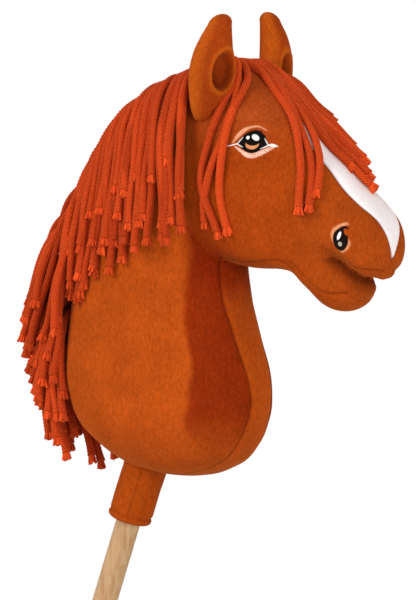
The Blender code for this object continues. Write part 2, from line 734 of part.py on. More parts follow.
def tape(line, surface):
    """A tape along the line, whose underside follows the plush."""
    rings = []
    for place, way in zip(line, np.gradient(np.array([tuple(p) for p in line]), axis=0)):
        base, out = surface.find_nearest(place)[:2]
        side = out.cross(Vector(way)).normalized() * BAND_WIDTH / 2
        under = [surface.find_nearest(base + side * share)[:2] for share in (1, 0, -1)]
        lift = (under[0][1] + under[2][1]).normalized()
        low = [edge + (normal if k != 1 else lift) * BAND_REST for k, (edge, normal) in enumerate(under)]
        high = [p + lift * BAND_HEIGHT for p in (low[2], low[0])]
        rings.append([tuple(p) for p in low + high])
    return grid_mesh("tape", np.array(rings))


def cord(route, surface):
    """A cord along a route, evened out and kept off the plush."""
    line = route
    for _ in range(3):
        line = [line[0]] + [(a + b * 2 + c) / 4 for a, b, c in zip(line, line[1:], line[2:])] + [line[-1]]
    line = [lifted(p, surface, CORD_REST) for p in line]
    return tube(thinned(line, CORD_BEND), CORD_DIAMETER / 2)


def crest_line():
    """The crest of the poll and the neck, from behind the ears down to the last lock."""
    rail = np.array([row[2:4] for row in NECK_STATIONS if row[3] > CREST_FOOT][::-1])
    line = spline(np.vstack([POLL_LINE, rail]) * MM, CREST_STEPS)
    return [Vector((x, 0.0, z)) for x, z in line]


def make_mane(plush):
    """Locks of cords, each stitched to its own stretch of the band along the crest. The lowest
    lock is laid first, and each one above lies over it."""
    surface = BVHTree.FromPolygons([v.co for v in plush.vertices], [p.vertices for p in plush.polygons])
    laid = []
    sides = (("_right", RIGHT_CORDS), ("_left", LEFT_CORDS))
    ends = [lock[:2] for lock in LOCKS[1:]] + [LAST_LOCK_END]
    for lock in reversed(range(len(LOCKS))):
        (axis, start, size), (next_axis, end) = LOCKS[lock], ends[lock]
        for side, table in sides if axis == 0 else (("", BACK_CORDS),):
            aside = {"_right": -BAND_ASIDE, "_left": BAND_ASIDE, "": 0.0}[side]
            line = [lifted(p + Vector((0.0, aside, 0.0)), surface, CORD_REST) for p in crest_line()]
            first = min(range(len(line)), key=lambda k: abs(line[k][axis] - start * MM))
            last = min(range(len(line)), key=lambda k: abs(line[k][next_axis] - end * MM))
            backing, routes = line[first:last], []
            for share, turn, length, layer in table:
                root = along(backing, share)
                heading = (-math.cos(math.radians(turn)), math.sin(math.radians(turn)), CORD_START)
                near = np.array([p for other in laid + (routes if side == "" else []) for p in other])
                throw = BACK_THROW if side == "" else SIDE_THROW
                routes.append(draped(root, heading, size * length * MM, layer, throw, surface, near))
            strip = tape(thinned(backing, BAND_BEND), surface)
            name = "mane_lock_%02d%s" % (lock + 1, side)
            node(name, joined([strip] + [cord(route, surface) for route in routes]), CORD)
            if side == "":
                laid += routes


def make_forelock(head):
    """Three locks from the poll: one past the right ear, one beside the blaze, one over it. Each
    is a row of cords from one side route to the other, stitched to a short band."""
    surface = BVHTree.FromPolygons([v.co for v in head.vertices], [p.vertices for p in head.polygons])
    for name, (count, one_side, other_side) in FORELOCK.items():
        cords, roots = [], []
        for share in np.linspace(0, 1, count):
            places = (1 - share) * np.array(one_side) + share * np.array(other_side)
            line = [lifted(Vector(p) * MM, surface, CORD_REST) for p in spline(places, FORELOCK_STEPS)]
            line[0] = seated(line[0], surface)
            roots.append(line[0])
            cords.append(cord(line, surface))
        backing = [seated(Vector(p), surface) for p in spline(roots, BAND_STEPS)]
        node(name, joined([tape(backing, surface)] + cords), CORD)


clear_scene()
neck_out = loft("neck", NECK_STATIONS, 14, 18, NECK_RING)
head_loft = loft("head", HEAD_STATIONS, 16, 18)
jaw_loft = loft("jaw", JAW_STATIONS, 8, 12)
head_out = union(head_loft, jaw_loft)
make_stick()
make_sleeve_and_cuff(neck_out)
make_neck(neck_out, head_out)
make_head(neck_out, head_out, head_loft, jaw_loft)
make_ears(head_out)
make_face(head_loft)
make_mane(union(neck_out, head_out))
make_forelock(head_out)
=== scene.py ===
"""Looks of the hobby horse: plush, cotton cords, painted eyes, cuff and wooden stick, round the
fixed frame."""
import math

import bpy
import numpy as np
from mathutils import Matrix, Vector
from mathutils.bvhtree import BVHTree


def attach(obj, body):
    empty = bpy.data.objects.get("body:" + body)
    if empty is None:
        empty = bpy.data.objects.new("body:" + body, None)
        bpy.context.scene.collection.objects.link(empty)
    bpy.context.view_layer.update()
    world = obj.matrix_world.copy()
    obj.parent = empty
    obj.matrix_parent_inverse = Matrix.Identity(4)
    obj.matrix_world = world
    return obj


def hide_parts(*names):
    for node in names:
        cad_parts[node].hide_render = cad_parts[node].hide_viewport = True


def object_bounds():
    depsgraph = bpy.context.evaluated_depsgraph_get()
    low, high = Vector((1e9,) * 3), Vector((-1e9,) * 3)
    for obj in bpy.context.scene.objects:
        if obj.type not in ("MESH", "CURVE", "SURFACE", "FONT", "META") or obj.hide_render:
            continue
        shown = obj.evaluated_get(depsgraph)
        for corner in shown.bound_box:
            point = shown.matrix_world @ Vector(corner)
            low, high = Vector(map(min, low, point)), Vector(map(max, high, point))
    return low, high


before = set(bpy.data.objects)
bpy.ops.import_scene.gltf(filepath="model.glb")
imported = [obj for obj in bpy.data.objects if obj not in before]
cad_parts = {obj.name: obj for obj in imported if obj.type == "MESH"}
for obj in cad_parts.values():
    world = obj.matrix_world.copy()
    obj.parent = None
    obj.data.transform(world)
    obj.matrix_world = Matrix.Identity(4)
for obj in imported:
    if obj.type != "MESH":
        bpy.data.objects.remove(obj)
CAD_BOX = [list(corner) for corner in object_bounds()]

MM = 0.001
LEAN = math.radians(20.0)
AXIS = np.array([math.sin(LEAN), 0.0, math.cos(LEAN)])
STICK_BELOW_CUFF = 570.0 * MM
CUFF_LENGTH = 60.0 * MM
BASE = AXIS * (STICK_BELOW_CUFF + CUFF_LENGTH)
CUFF_RADIUS = 22.0 * MM
STICK_RADIUS = 12.5 * MM

# The tables are in millimetres from BASE, where the stick's axis enters the neck: x to the nose, y to
# the left and z up. A section of the neck, head or jaw has the x and z of its front rail, the x and z
# of its back rail, its half width, and the power of its superellipse.
NECK = [
    (20.7, -7.5, -20.7, 7.5, 22, 2),
    (46.5, -11, -35.5, 15, 31, 2.1),
    (82, -8, -56, 31, 45, 2.2),
    (118, 8, -75, 49, 55, 2.3),
    (139, 38, -85, 73, 60, 2.3),
    (145, 72, -87.5, 102, 62, 2.3),
    (132, 126, -83, 151, 58.5, 2.3),
    (121, 165, -77.5, 190, 54.5, 2.3),
    (118.5, 210, -71.5, 232, 51, 2.3),
    (121, 258, -60, 278, 48, 2.3),
    (123, 303, -38, 321, 44, 2.3),
    (117, 344, -2, 359, 38, 2.3),
    (104, 368, 34, 380, 28, 2.2),
    (88, 379, 62, 386, 13, 2),
]
HEAD = [
    (107, 399, 81, 393, 15, 2.1),
    (130, 395, 43, 369, 35, 2.3),
    (156, 379, 21, 329, 46.5, 2.4),
    (183, 358, 28, 285, 53, 2.5),
    (206, 335, 53, 245, 56, 2.5),
    (226, 313, 88, 214, 56, 2.5),
    (245, 295, 130, 199, 52, 2.6),
    (262, 277.5, 171, 196, 46, 2.7),
    (278, 262.5, 209, 203, 41, 2.8),
    (291, 247, 240, 206, 38, 2.9),
    (297, 230, 259, 196, 35.5, 2.9),
    (297, 211, 273, 188, 30, 2.7),
    (293, 198, 282, 187, 17, 2.4),
]
JAW = [
    (183, 224, 164, 211, 29, 2.3),
    (206, 222, 187.5, 193.5, 34.5, 2.4),
    (228, 219, 208.5, 175, 34.5, 2.4),
    (243, 210, 224, 160.5, 31, 2.4),
    (256, 200, 240, 155, 26.5, 2.4),
    (265, 192, 255, 158, 22, 2.3),
    (270, 184, 264, 168, 14, 2.2),
]
# A section of an ear: its height, the x and y of its middle, and its half depth and half width.
EAR = [
    (346, 107, 44.5, 9, 13.5),
    (354, 111, 48, 12, 18),
    (366, 116, 52, 14.5, 22),
    (382, 120, 54.5, 15.7, 24.8),
    (396, 121.5, 54.8, 15.8, 24.6),
    (411, 122, 54.3, 15.7, 20.1),
    (425, 122.5, 50.2, 13.7, 15.6),
    (437, 122.5, 44.6, 10.6, 11.6),
]
EAR_TURN = math.radians(20)
# What is added for the right ear (-1) and the left ear (1), which the photograph shows as unlike
EAR_WIDER = {-1: 1, 1: 2.8}
EAR_TALLER = {-1: 0, 1: 6}
# Middle height, half width and half height of the ear's hollow
EAR_HOLLOW = (391, 14.5, 20)
# Seams: half width by z for the chest and the blaze, half width by x for the jaw, z by x for the rest
CHEST_SEAM = [(-30, 21), (30, 19.5), (80, 19), (140, 24.5), (215, 27)]
JAW_SEAM = [(110, 27), (140, 31), (180, 34), (215, 24), (240, 19), (300, 16)]
JAW_FLOOR = [(90, 226), (120, 214), (153, 206), (181, 208), (200, 202), (216, 187),
             (231, 175), (247, 172), (259, 172), (266, 160), (300, 158)]
BLAZE_SEAM = [(206, 0.8), (222, 8.5), (240, 18), (262, 26.5), (300, 25.5), (340, 21.5),
              (372, 12)]
LIP_SEAM = [(236, 219), (250, 208), (264, 200), (280, 195), (312, 195)]
POLL_LINE = [(100, 401), (82, 394)]
# The edge of the darker band on the neck's side, partly the brushed-down nap and partly painted shade: z
# and x
NAP_AND_SHADE_EDGE = [(20, 92), (45, 87), (93, 97), (150, 79), (210, 83), (235, 86)]

SKIN_VOXEL = 2.4 * MM
SKIN_ROUNDS = 5
SEAM_DEPTH = 0.75
SEAM_WIDTH = 2.2
FOLD_DEPTH = 2.2
FOLD_WIDTH = 3.2
# Attribute values in metres for a surface with no seam near it, and for one outside the blaze
NO_SEAM = 0.05
NO_BLAZE = -0.05
PATCH_STEP = 0.4
PATCH_LIFT = 0.35 * MM

# Colours, in 8-bit sRGB

# Painted highlight on the pile over the brow
BROW_HIGHLIGHT = (190, 104, 56)
NECK_LIGHT = (174, 72, 16)
# Painted shade towards the bottom of the neck
NECK_LOW_SHADE = (158, 64, 15)
# Darker pile on the neck's side, partly brushed-down nap and partly painted shade; also the painted shade
# below the cheek
NECK_NAP_AND_SHADE = (124, 31, 4)
# Painted shade in the crease under the cheek
NECK_CREASE_SHADE = (62, 17, 4)
# Painted shade under the upper lip
MOUTH_SHADE = (74, 26, 6)
CHEEK = (160, 62, 11)
FOREHEAD = (158, 64, 20)
MUZZLE = (161, 66, 15)
BLAZE = (246, 237, 236)
EAR_OUT = (158, 60, 13)
# Painted highlight on the ear's rims and sides
EAR_RIM_HIGHLIGHT = (184, 84, 18)
# Painted shade in the ear's hollow
EAR_HOLLOW_SHADE = (112, 38, 8)
CUFF = (158, 64, 12)
CORD = (244, 88, 34)
# Painted shade between a cord's strands, also a random darker tone on loose yarns
CORD_SHADE_AND_TONE = (108, 22, 5)
# Darker dye, and painted shade on the lower cords
CORD_DYE_AND_SHADE = (116, 27, 7)
WOOD_DARK = (170, 124, 76)
WOOD_PALE = (196, 160, 116)


def linear(colour):
    """The linear light of an 8-bit sRGB colour, as an array."""
    c = np.asarray(colour, float) / 255
    return np.where(c <= 0.04045, c / 12.92, ((c + 0.055) / 1.055) ** 2.4)


def rgba(colour):
    """An 8-bit sRGB colour as a socket takes it."""
    return (*linear(colour), 1.0)


def painted(tint, share, colour):
    """The tints with a share of another colour laid over them."""
    return tint + (linear(colour) - tint) * np.clip(share, 0, 1)[..., None]


def smooth(x, low, high):
    """0 below low, 1 above high, and a smooth step between."""
    t = np.clip((x - low) / (high - low), 0, 1)
    return t * t * (3 - 2 * t)


def spline(points, count):
    """A Catmull-Rom cubic through the rows of points, read at an even count of steps."""
    rows = np.asarray(points, float)
    ends = np.vstack([2 * rows[0] - rows[1], rows, 2 * rows[-1] - rows[-2]])
    place = np.linspace(0, len(rows) - 1, count)
    left = np.minimum(place.astype(int), len(rows) - 2)
    share = (place - left)[:, None]
    a, b, c, d = (ends[left + k] for k in range(4))
    return b + 0.5 * share * (c - a + share * (2 * a - 5 * b + 4 * c - d + share * (3 * (b - c) + d - a)))


def at(table, x, column=1):
    """A table's column read at x, along a smooth line."""
    line = spline(table, 200)
    order = np.argsort(line[:, 0])
    return np.interp(x, line[order, 0], line[order, column])


def mesh_object(name, points, quads, finish=None, **values):
    """An object from arrays: points, quads and point attributes (numbers or colours)."""
    mesh = bpy.data.meshes.new(name)
    points, quads = np.asarray(points, np.float32), np.asarray(quads, np.int32)
    mesh.vertices.add(len(points))
    mesh.vertices.foreach_set("co", points.ravel())
    mesh.loops.add(quads.size)
    mesh.loops.foreach_set("vertex_index", quads.ravel())
    mesh.polygons.add(len(quads))
    mesh.polygons.foreach_set("loop_start", np.arange(0, quads.size, 4, dtype=np.int32))
    mesh.polygons.foreach_set("use_smooth", np.ones(len(quads), bool))
    mesh.update(calc_edges=True)
    set_values(mesh, values)
    made = bpy.data.objects.new(name, mesh)
    bpy.context.scene.collection.objects.link(made)
    if finish is not None:
        mesh.materials.append(finish)
    return made


def set_values(mesh, values):
    """Point attributes: a colour from three columns, a number from one."""
    for key, value in values.items():
        value = np.asarray(value, np.float32)
        if value.ndim == 2:
            value = np.concatenate([value, np.ones((len(value), 1), np.float32)], 1)
            mesh.attributes.new(key, "FLOAT_COLOR", "POINT").data.foreach_set("color", value.ravel())
        else:
            mesh.attributes.new(key, "FLOAT", "POINT").data.foreach_set("value", value)


def quads_of(rings, around, closed=True, first=0):
    """The quads of a grid of rings, each ring closed or open."""
    index = first + np.arange(rings * around).reshape(rings, around)
    low, high = index[:-1], index[1:]
    if closed:
        return np.stack([low, np.roll(low, -1, 1), np.roll(high, -1, 1), high], -1).reshape(-1, 4)
    return np.stack([low[:, :-1], low[:, 1:], high[:, 1:], high[:, :-1]], -1).reshape(-1, 4)


def with_caps(grid):
    """The grid with both ends drawn in, first partly and then almost to a point, to close it."""
    partly, almost = 0.6, 0.999
    ends = [grid[:1] * (1 - s) + grid[0].mean(0) * s for s in (almost, partly)]
    tops = [grid[-1:] * (1 - s) + grid[-1].mean(0) * s for s in (partly, almost)]
    return np.concatenate([*ends, grid, *tops])


def section_rings(table, rings, around):
    """Superellipse sections P(s, t) between a front and a back rail of the middle plane. In the
    plane they are middle(s) + reach(s) sgn(cos t)|cos t|^(2/n), and across it they are
    width(s) sgn(sin t)|sin t|^(2/n)."""
    rows = spline(np.array(table), rings)
    turn = 2 * math.pi * (np.arange(around) + 0.5) / around
    power = 2.0 / rows[:, 5][:, None]
    depth = np.sign(np.cos(turn)) * np.abs(np.cos(turn)) ** power
    side = np.sign(np.sin(turn)) * np.abs(np.sin(turn)) ** power
    front, back = rows[:, 0:2], rows[:, 2:4]
    middle, reach = (front + back) / 2, (front - back) / 2
    grid = np.empty((rings, around, 3))
    grid[..., 0] = middle[:, None, 0] + reach[:, None, 0] * depth
    grid[..., 2] = middle[:, None, 1] + reach[:, None, 1] * depth
    grid[..., 1] = rows[:, 4][:, None] * side
    return grid * MM + BASE


def domed(grid, height, start=False, end=True):
    """The grid with its open ends closed by low domes."""
    angles = np.radians([20, 40, 60, 75, 89])
    for flip in [f for f, wanted in ((True, start), (False, end)) if wanted]:
        rows = grid[::-1] if flip else grid
        centre, out = rows[-1].mean(0), rows[-1].mean(0) - rows[-2].mean(0)
        out /= np.linalg.norm(out)
        cap = np.array([centre + (rows[-1] - centre) * math.cos(a) + out * height * math.sin(a)
                        for a in angles])
        rows = np.concatenate([rows, cap])
        grid = rows[::-1] if flip else rows
    return grid


def tree_of(points, quads):
    """A search tree over a surface."""
    return BVHTree.FromPolygons([tuple(p) for p in points.tolist()], quads.tolist())


def vectors_of(mesh, key):
    """The points ("co") or the normals ("normal") of a mesh, one row for each vertex."""
    rows = np.empty(len(mesh.vertices) * 3, np.float32)
    mesh.vertices.foreach_get(key, rows)
    return rows.reshape(-1, 3).astype(float)


def move_points(mesh, points):
    mesh.vertices.foreach_set("co", points.astype(np.float32).ravel())
    mesh.update()


def waves(p, scale, seed, count=7, size=3.2):
    """Smooth fixed noise: a sum of sine waves of random directions, about -1 to 1."""
    gen = np.random.default_rng(seed)
    total = np.zeros(len(p))
    for _ in range(count):
        way = gen.normal(size=3)
        way *= gen.uniform(0.6, 1.4) / np.linalg.norm(way) / scale
        total += np.sin(p @ way * 2 * math.pi + gen.uniform(0, 6.28))
    return total / size


# Materials


def new_material(name, roughness):
    """A new material with its node tree and its shader node."""
    made = bpy.data.materials.new(name)
    made.use_nodes = True
    tree = made.node_tree
    shader = tree.nodes["Principled BSDF"]
    shader.inputs["Roughness"].default_value = roughness
    return made, tree, shader


def add_node(tree, kind, **inputs):
    """A new node with values on its inputs. An underscore in a name stands for a space."""
    node = tree.nodes.new(kind)
    for key, value in inputs.items():
        node.inputs[key.replace("_", " ")].default_value = value
    return node


def noise(tree, scale, detail=3.0, stretch=(1, 1, 1), turn=(0, 0, 0)):
    """Noise on the object's own coordinates."""
    place = tree.nodes.new("ShaderNodeTexCoord")
    mapped = add_node(tree, "ShaderNodeMapping", Scale=stretch, Rotation=turn)
    tree.links.new(place.outputs["Object"], mapped.inputs["Vector"])
    made = add_node(tree, "ShaderNodeTexNoise", Scale=scale, Detail=detail, Roughness=0.6)
    tree.links.new(mapped.outputs["Vector"], made.inputs["Vector"])
    return made.outputs["Fac"]


def ramp(tree, source, low, high, start=0.0, end=1.0):
    """The value mapped from the source's range, start to end, to low to high."""
    made = add_node(tree, "ShaderNodeMapRange", From_Min=start, From_Max=end, To_Min=low, To_Max=high)
    tree.links.new(source, made.inputs["Value"])
    return made.outputs["Result"]


def mix(tree, mode, share, one, two):
    """A mixed colour. Share and both colours are sockets or plain values."""
    made = tree.nodes.new("ShaderNodeMix")
    made.data_type = "RGBA"
    made.blend_type = mode
    factor, first, second = 0, 6, 7
    for key, value in ((factor, share), (first, one), (second, two)):
        if isinstance(value, bpy.types.NodeSocket):
            tree.links.new(value, made.inputs[key])
        else:
            made.inputs[key].default_value = value
    return made.outputs[2]


def bump(tree, shader, parts):
    """Bumps stacked from the broadest to the finest: (height, strength, distance) each."""
    last = None
    for height, strength, distance in parts:
        made = add_node(tree, "ShaderNodeBump", Strength=strength, Distance=distance)
        tree.links.new(height, made.inputs["Height"])
        if last is not None:
            tree.links.new(last, made.inputs["Normal"])
        last = made.outputs["Normal"]
    tree.links.new(last, shader.inputs["Normal"])


def attribute(tree, name, output="Fac"):
    """A point attribute as a number, or as a colour."""
    made = tree.nodes.new("ShaderNodeAttribute")
    made.attribute_name = name
    return made.outputs[output]


def plush_material():
    """Short cut pile: the colour of its place, a white blaze, brushed mottling, darker seams and a
    soft sheen."""
    made, tree, shader = new_material("plush", 0.92)
    tint = attribute(tree, "tint", "Color")
    white = ramp(tree, attribute(tree, "blaze"), 0.0, 1.0, -0.4 * MM, 0.4 * MM)
    cloud = ramp(tree, noise(tree, 22.0, 4.0), 0.86, 1.12, 0.3, 0.7)
    brushed = ramp(tree, noise(tree, 420.0, 3.0, (1, 1, 0.5), (0.3, 0.2, 0.0)), 0.8, 1.2, 0.3, 0.7)
    colour = mix(tree, "MULTIPLY", 1.0, tint, mix(tree, "MULTIPLY", 1.0, cloud, brushed))
    pale = mix(tree, "MULTIPLY", 0.3, rgba(BLAZE), brushed)
    colour = mix(tree, "MIX", white, colour, pale)
    seam = ramp(tree, attribute(tree, "seam"), 0.55, 1.0, 0.2 * MM, 1.8 * MM)
    colour = mix(tree, "MULTIPLY", 1.0, colour, seam)
    tree.links.new(colour, shader.inputs["Base Color"])
    shader.inputs["Sheen Weight"].default_value = 0.22
    shader.inputs["Sheen Roughness"].default_value = 0.4
    shader.inputs["Sheen Tint"].default_value = (1.0, 0.36, 0.08, 1.0)
    shader.inputs["Specular IOR Level"].default_value = 0.03
    bump(tree, shader, [(noise(tree, 160.0, 3.0, (1, 1, 0.5)), 0.25, 1.2 * MM),
                        (noise(tree, 1400.0, 2.0), 0.45, 0.4 * MM)])
    return made


def cord_material():
    """Twisted cotton yarn: painted shade between the strands, a dye that differs from cord to cord with
    painted shade on the lower layers, and fine fibres.
    """
    made, tree, shader = new_material("cotton_cord", 0.88)
    # Painted shade in the grooves between the strands
    base = mix(tree, "MIX", attribute(tree, "groove"), rgba(CORD), rgba(CORD_SHADE_AND_TONE))
    # The dye that differs from cord to cord, with painted shade on the lower layers
    hue = mix(tree, "MIX", attribute(tree, "dye"), base, rgba(CORD_DYE_AND_SHADE))
    fibre = ramp(tree, noise(tree, 900.0, 3.0), 0.68, 1.32, 0.3, 0.7)
    tree.links.new(mix(tree, "MULTIPLY", 1.0, hue, fibre), shader.inputs["Base Color"])
    shader.inputs["Sheen Weight"].default_value = 0.15
    shader.inputs["Sheen Tint"].default_value = (1.0, 0.4, 0.15, 1.0)
    shader.inputs["Specular IOR Level"].default_value = 0.05
    bump(tree, shader, [(noise(tree, 1300.0, 3.0), 0.5, 0.5 * MM)])
    return made


def wood_material():
    """Pale planed beech: fine grain and short pores along the stick."""
    made, tree, shader = new_material("beech", 0.5)
    lean = (0.0, -LEAN, 0.0)
    grain = noise(tree, 26.0, 5.0, (9, 9, 0.35), lean)
    colour = mix(tree, "MIX", ramp(tree, grain, 0.0, 1.0, 0.35, 0.65), rgba(WOOD_DARK), rgba(WOOD_PALE))
    pores = ramp(tree, noise(tree, 160.0, 2.0, (9, 9, 0.5), lean), 0.82, 1.0, 0.32, 0.42)
    tree.links.new(mix(tree, "MULTIPLY", 1.0, colour, pores), shader.inputs["Base Color"])
    bump(tree, shader, [(noise(tree, 60.0, 4.0, (9, 9, 0.4), lean), 0.12, 0.6 * MM)])
    return made


PLUSH = plush_material()
CORDS = cord_material()
WOOD = wood_material()


# Stuffed head and neck


def lofted(name, grid):
    """An object for the remesh below, from a closed grid of rings."""
    return mesh_object(name, grid.reshape(-1, 3), quads_of(*grid.shape[:2]))


def one_skin(forms, voxel, rounds):
    """One smooth skin over several overlapping forms."""
    points = np.concatenate([vectors_of(form.data, "co") for form in forms])
    counts = np.cumsum([0] + [len(form.data.vertices) for form in forms])
    quads = []
    for form, start in zip(forms, counts):
        loops = np.empty(len(form.data.loops), np.int32)
        form.data.loops.foreach_get("vertex_index", loops)
        quads.append(loops.reshape(-1, 4) + start)
    made = mesh_object("plush_skin", points, np.concatenate(quads))
    remesh = made.modifiers.new("remesh", "REMESH")
    remesh.mode = "VOXEL"
    remesh.voxel_size = voxel
    remesh.use_smooth_shade = True
    soft = made.modifiers.new("soft", "SMOOTH")
    soft.iterations = rounds
    graph = bpy.context.evaluated_depsgraph_get()
    skin = bpy.data.meshes.new_from_object(made.evaluated_get(graph))
    made.modifiers.clear()
    made.data = skin
    for form in forms:
        bpy.data.objects.remove(form)
    return made


def nearest(tree, points):
    """The distance from each point to the surface."""
    return np.array([tree.find_nearest(Vector(p))[3] for p in points.tolist()])


def plush_tint(p, parts=None):
    """The colour of the pile by its place: the cheek, forehead and muzzle are browner than the neck, the
    neck's side has a darker band that is partly brushed-down nap and partly painted shade, a painted
    highlight lies over the brow, and painted shade darkens the neck's bottom, the folds between the forms,
    the neck below the cheek and the jaw under the lip."""
    x, y, z = (p / MM - BASE / MM).T
    head = smooth(z - (x - 100) * -0.55, 215, 250)
    tint = np.outer(1 - head, linear(NECK_LIGHT)) + np.outer(head, linear(CHEEK))
    tint = painted(tint, smooth(z, 300, 350) * head, FOREHEAD)
    # Painted highlight: a paler spot on the pile over each brow
    brow_highlight = np.exp(-((x - 156) / 14) ** 2 - ((z - 347) / 6) ** 2) * (np.abs(y) > 20)
    tint = painted(tint, 0.1 * brow_highlight, BROW_HIGHLIGHT)
    tint = painted(tint, smooth(x, 190, 235) * head, MUZZLE)
    # Painted shade: the neck darker towards its bottom, by the cuff
    tint = painted(tint, (1 - smooth(z, -10, 70)) * (1 - head), NECK_LOW_SHADE)
    # A darker band on the neck's side, partly the brushed-down nap and partly painted shade; on the chest
    # gusset only its painted shade under the head stays
    edge = np.interp(z, *zip(*NAP_AND_SHADE_EDGE)) + 3 * waves(p, 0.05, 4)
    gusset = 1 - smooth(np.abs(y), at(CHEST_SEAM, z) - 3, at(CHEST_SEAM, z) + 1)
    nap_and_shade = smooth(x, edge - 4, edge + 5) * (1 - head) * smooth(z, 5, 60)
    nap_and_shade *= 1 - (0.97 - 0.6 * smooth(z, 140, 195)) * gusset
    tint = painted(tint, 0.85 * nap_and_shade, NECK_NAP_AND_SHADE)
    if parts is None:
        return tint
    neck, cheek, jaw = (distance / MM for distance in parts)
    below = (neck < cheek) & (neck < jaw)
    # Painted shade in the crease where the neck meets the cheek
    near = np.exp(-(cheek / 7.5) ** 2) * smooth(x, 96, 120) * below
    tint = painted(tint, 0.97 * near, NECK_CREASE_SHADE)
    # Painted shade on the neck's front just below the cheek
    shade = (1 - smooth(cheek, 14, 48)) * smooth(x, 70, 92) * below * (1 - smooth(x, 116, 122))
    tint = painted(tint, 0.75 * shade, NECK_NAP_AND_SHADE)
    # Painted shade on the lower jaw under the overhanging upper lip
    mouth = (jaw < cheek) & (x > 214)
    under = np.exp(-(cheek / (8 + 6 * smooth(x, 245, 265))) ** 2) * smooth(x, 226, 246) * mouth
    return painted(tint, 0.85 * under, MOUTH_SHADE)


def seam_distances(p, parts):
    """The distance in metres to the nearest seam, and how far inside the blaze a point is. Each
    seam counts only on its own stretch of its own form."""
    x, y, z = (p / MM - BASE / MM).T
    side = np.abs(y)
    form = np.argmin(np.stack(parts), 0)
    far = np.full(len(p), NO_SEAM / MM)
    front = x > at([(row[1], (row[0] * 0.6 + row[2] * 0.4)) for row in NECK], z)
    chest = np.where((form == 0) & front & (z < 222), np.abs(side - at(CHEST_SEAM, z)), far)
    face = spline([row[:2] for row in HEAD], 400)
    reach = np.min(np.hypot(x[:, None] - face[None, ::4, 0], z[:, None] - face[None, ::4, 1]), 1)
    inside = np.where((form == 1) & (reach < 21) & (z > 205) & (z < 378), at(BLAZE_SEAM, z) - side, -far)
    under = (z < at(JAW_FLOOR, x) + 2) & (x > 92) & (form > 0) & (x < 200)
    jaw = np.where(under, np.abs(side - at(JAW_SEAM, x)), far)
    wide = np.where(x > 196, 60, at(JAW_SEAM, x) + 1)
    along = (form > 0) & (side < wide) & (x > 92) & (x < 272)
    floor = np.where(along, np.abs(z - at(JAW_FLOOR, x)), far)
    lip = np.where((form == 1) & (x > 236) & (side > 4), np.abs(z - at(LIP_SEAM, x)), far)
    nose = np.where((form == 1) & (z < 206) & (z > 196) & (x > 270), side, far)
    seam = np.min([chest, jaw, floor, lip, nose, np.abs(inside)], 0)
    return seam * MM, inside * MM


def eased(p, edges, weight, rounds):
    """The points drawn towards the mean of their neighbours, by each point's weight, a few rounds over."""
    ends = np.concatenate([edges, edges[:, ::-1]])
    count = np.bincount(ends[:, 0], minlength=len(p))[:, None]
    for _ in range(rounds):
        total = np.stack([np.bincount(ends[:, 0], p[ends[:, 1], k], len(p)) for k in range(3)], 1)
        p = p + (total / count - p) * weight[:, None]
    return p


def make_skin():
    """The stuffed head, neck and jaw as one skin, drawn in a little along its seams and folds."""
    neck = domed(section_rings(NECK, 150, 96), 5 * MM)
    head = domed(section_rings(HEAD, 150, 96), 5 * MM, start=True)
    jaw = domed(section_rings(JAW, 70, 72), 5 * MM, start=True)
    trees = [tree_of(g.reshape(-1, 3), quads_of(*g.shape[:2])) for g in (neck, head, jaw)]
    forms = [lofted(name, with_caps(g)) for name, g in (("neck", neck), ("head", head), ("jaw", jaw))]
    skin = one_skin(forms, SKIN_VOXEL, SKIN_ROUNDS)
    p = vectors_of(skin.data, "co")
    parts = [nearest(tree, p) for tree in trees]
    edges = np.empty(len(skin.data.edges) * 2, np.int32)
    skin.data.edges.foreach_get("vertices", edges)
    x = (p[:, 0] - BASE[0]) / MM

    def meeting(one, two, width):
        """1 where two of the forms meet, and less away from there."""
        return np.exp(-(np.maximum(parts[one], parts[two]) / (width * MM)) ** 2)

    jowl = meeting(0, 1, 17) * (1 - smooth(x, 84, 116))
    chin = meeting(1, 2, 10) * (1 - smooth(x, 226, 240))
    p = eased(p, edges.reshape(-1, 2), np.maximum(jowl, chin), 160)
    move_points(skin.data, p)
    out = vectors_of(skin.data, "normal")
    seam, inside = seam_distances(p, parts)
    lump = 0.7 * waves(p, 0.09, 1) + 0.35 * waves(p, 0.035, 2)
    throat = meeting(0, 1, FOLD_WIDTH) * smooth(x, 98, 122)
    mouth = meeting(1, 2, FOLD_WIDTH) * smooth(x, 226, 244)
    depth = (-SEAM_DEPTH * np.exp(-(seam / (SEAM_WIDTH * MM)) ** 2) + lump
             - FOLD_DEPTH * np.maximum(throat, mouth))
    p += out * (depth * MM)[:, None]
    move_points(skin.data, p)
    set_values(skin.data, {"tint": plush_tint(p, parts), "seam": seam, "blaze": inside})
    skin.data.materials.clear()
    skin.data.materials.append(PLUSH)
    return skin


# Ears, cuff and painted patches


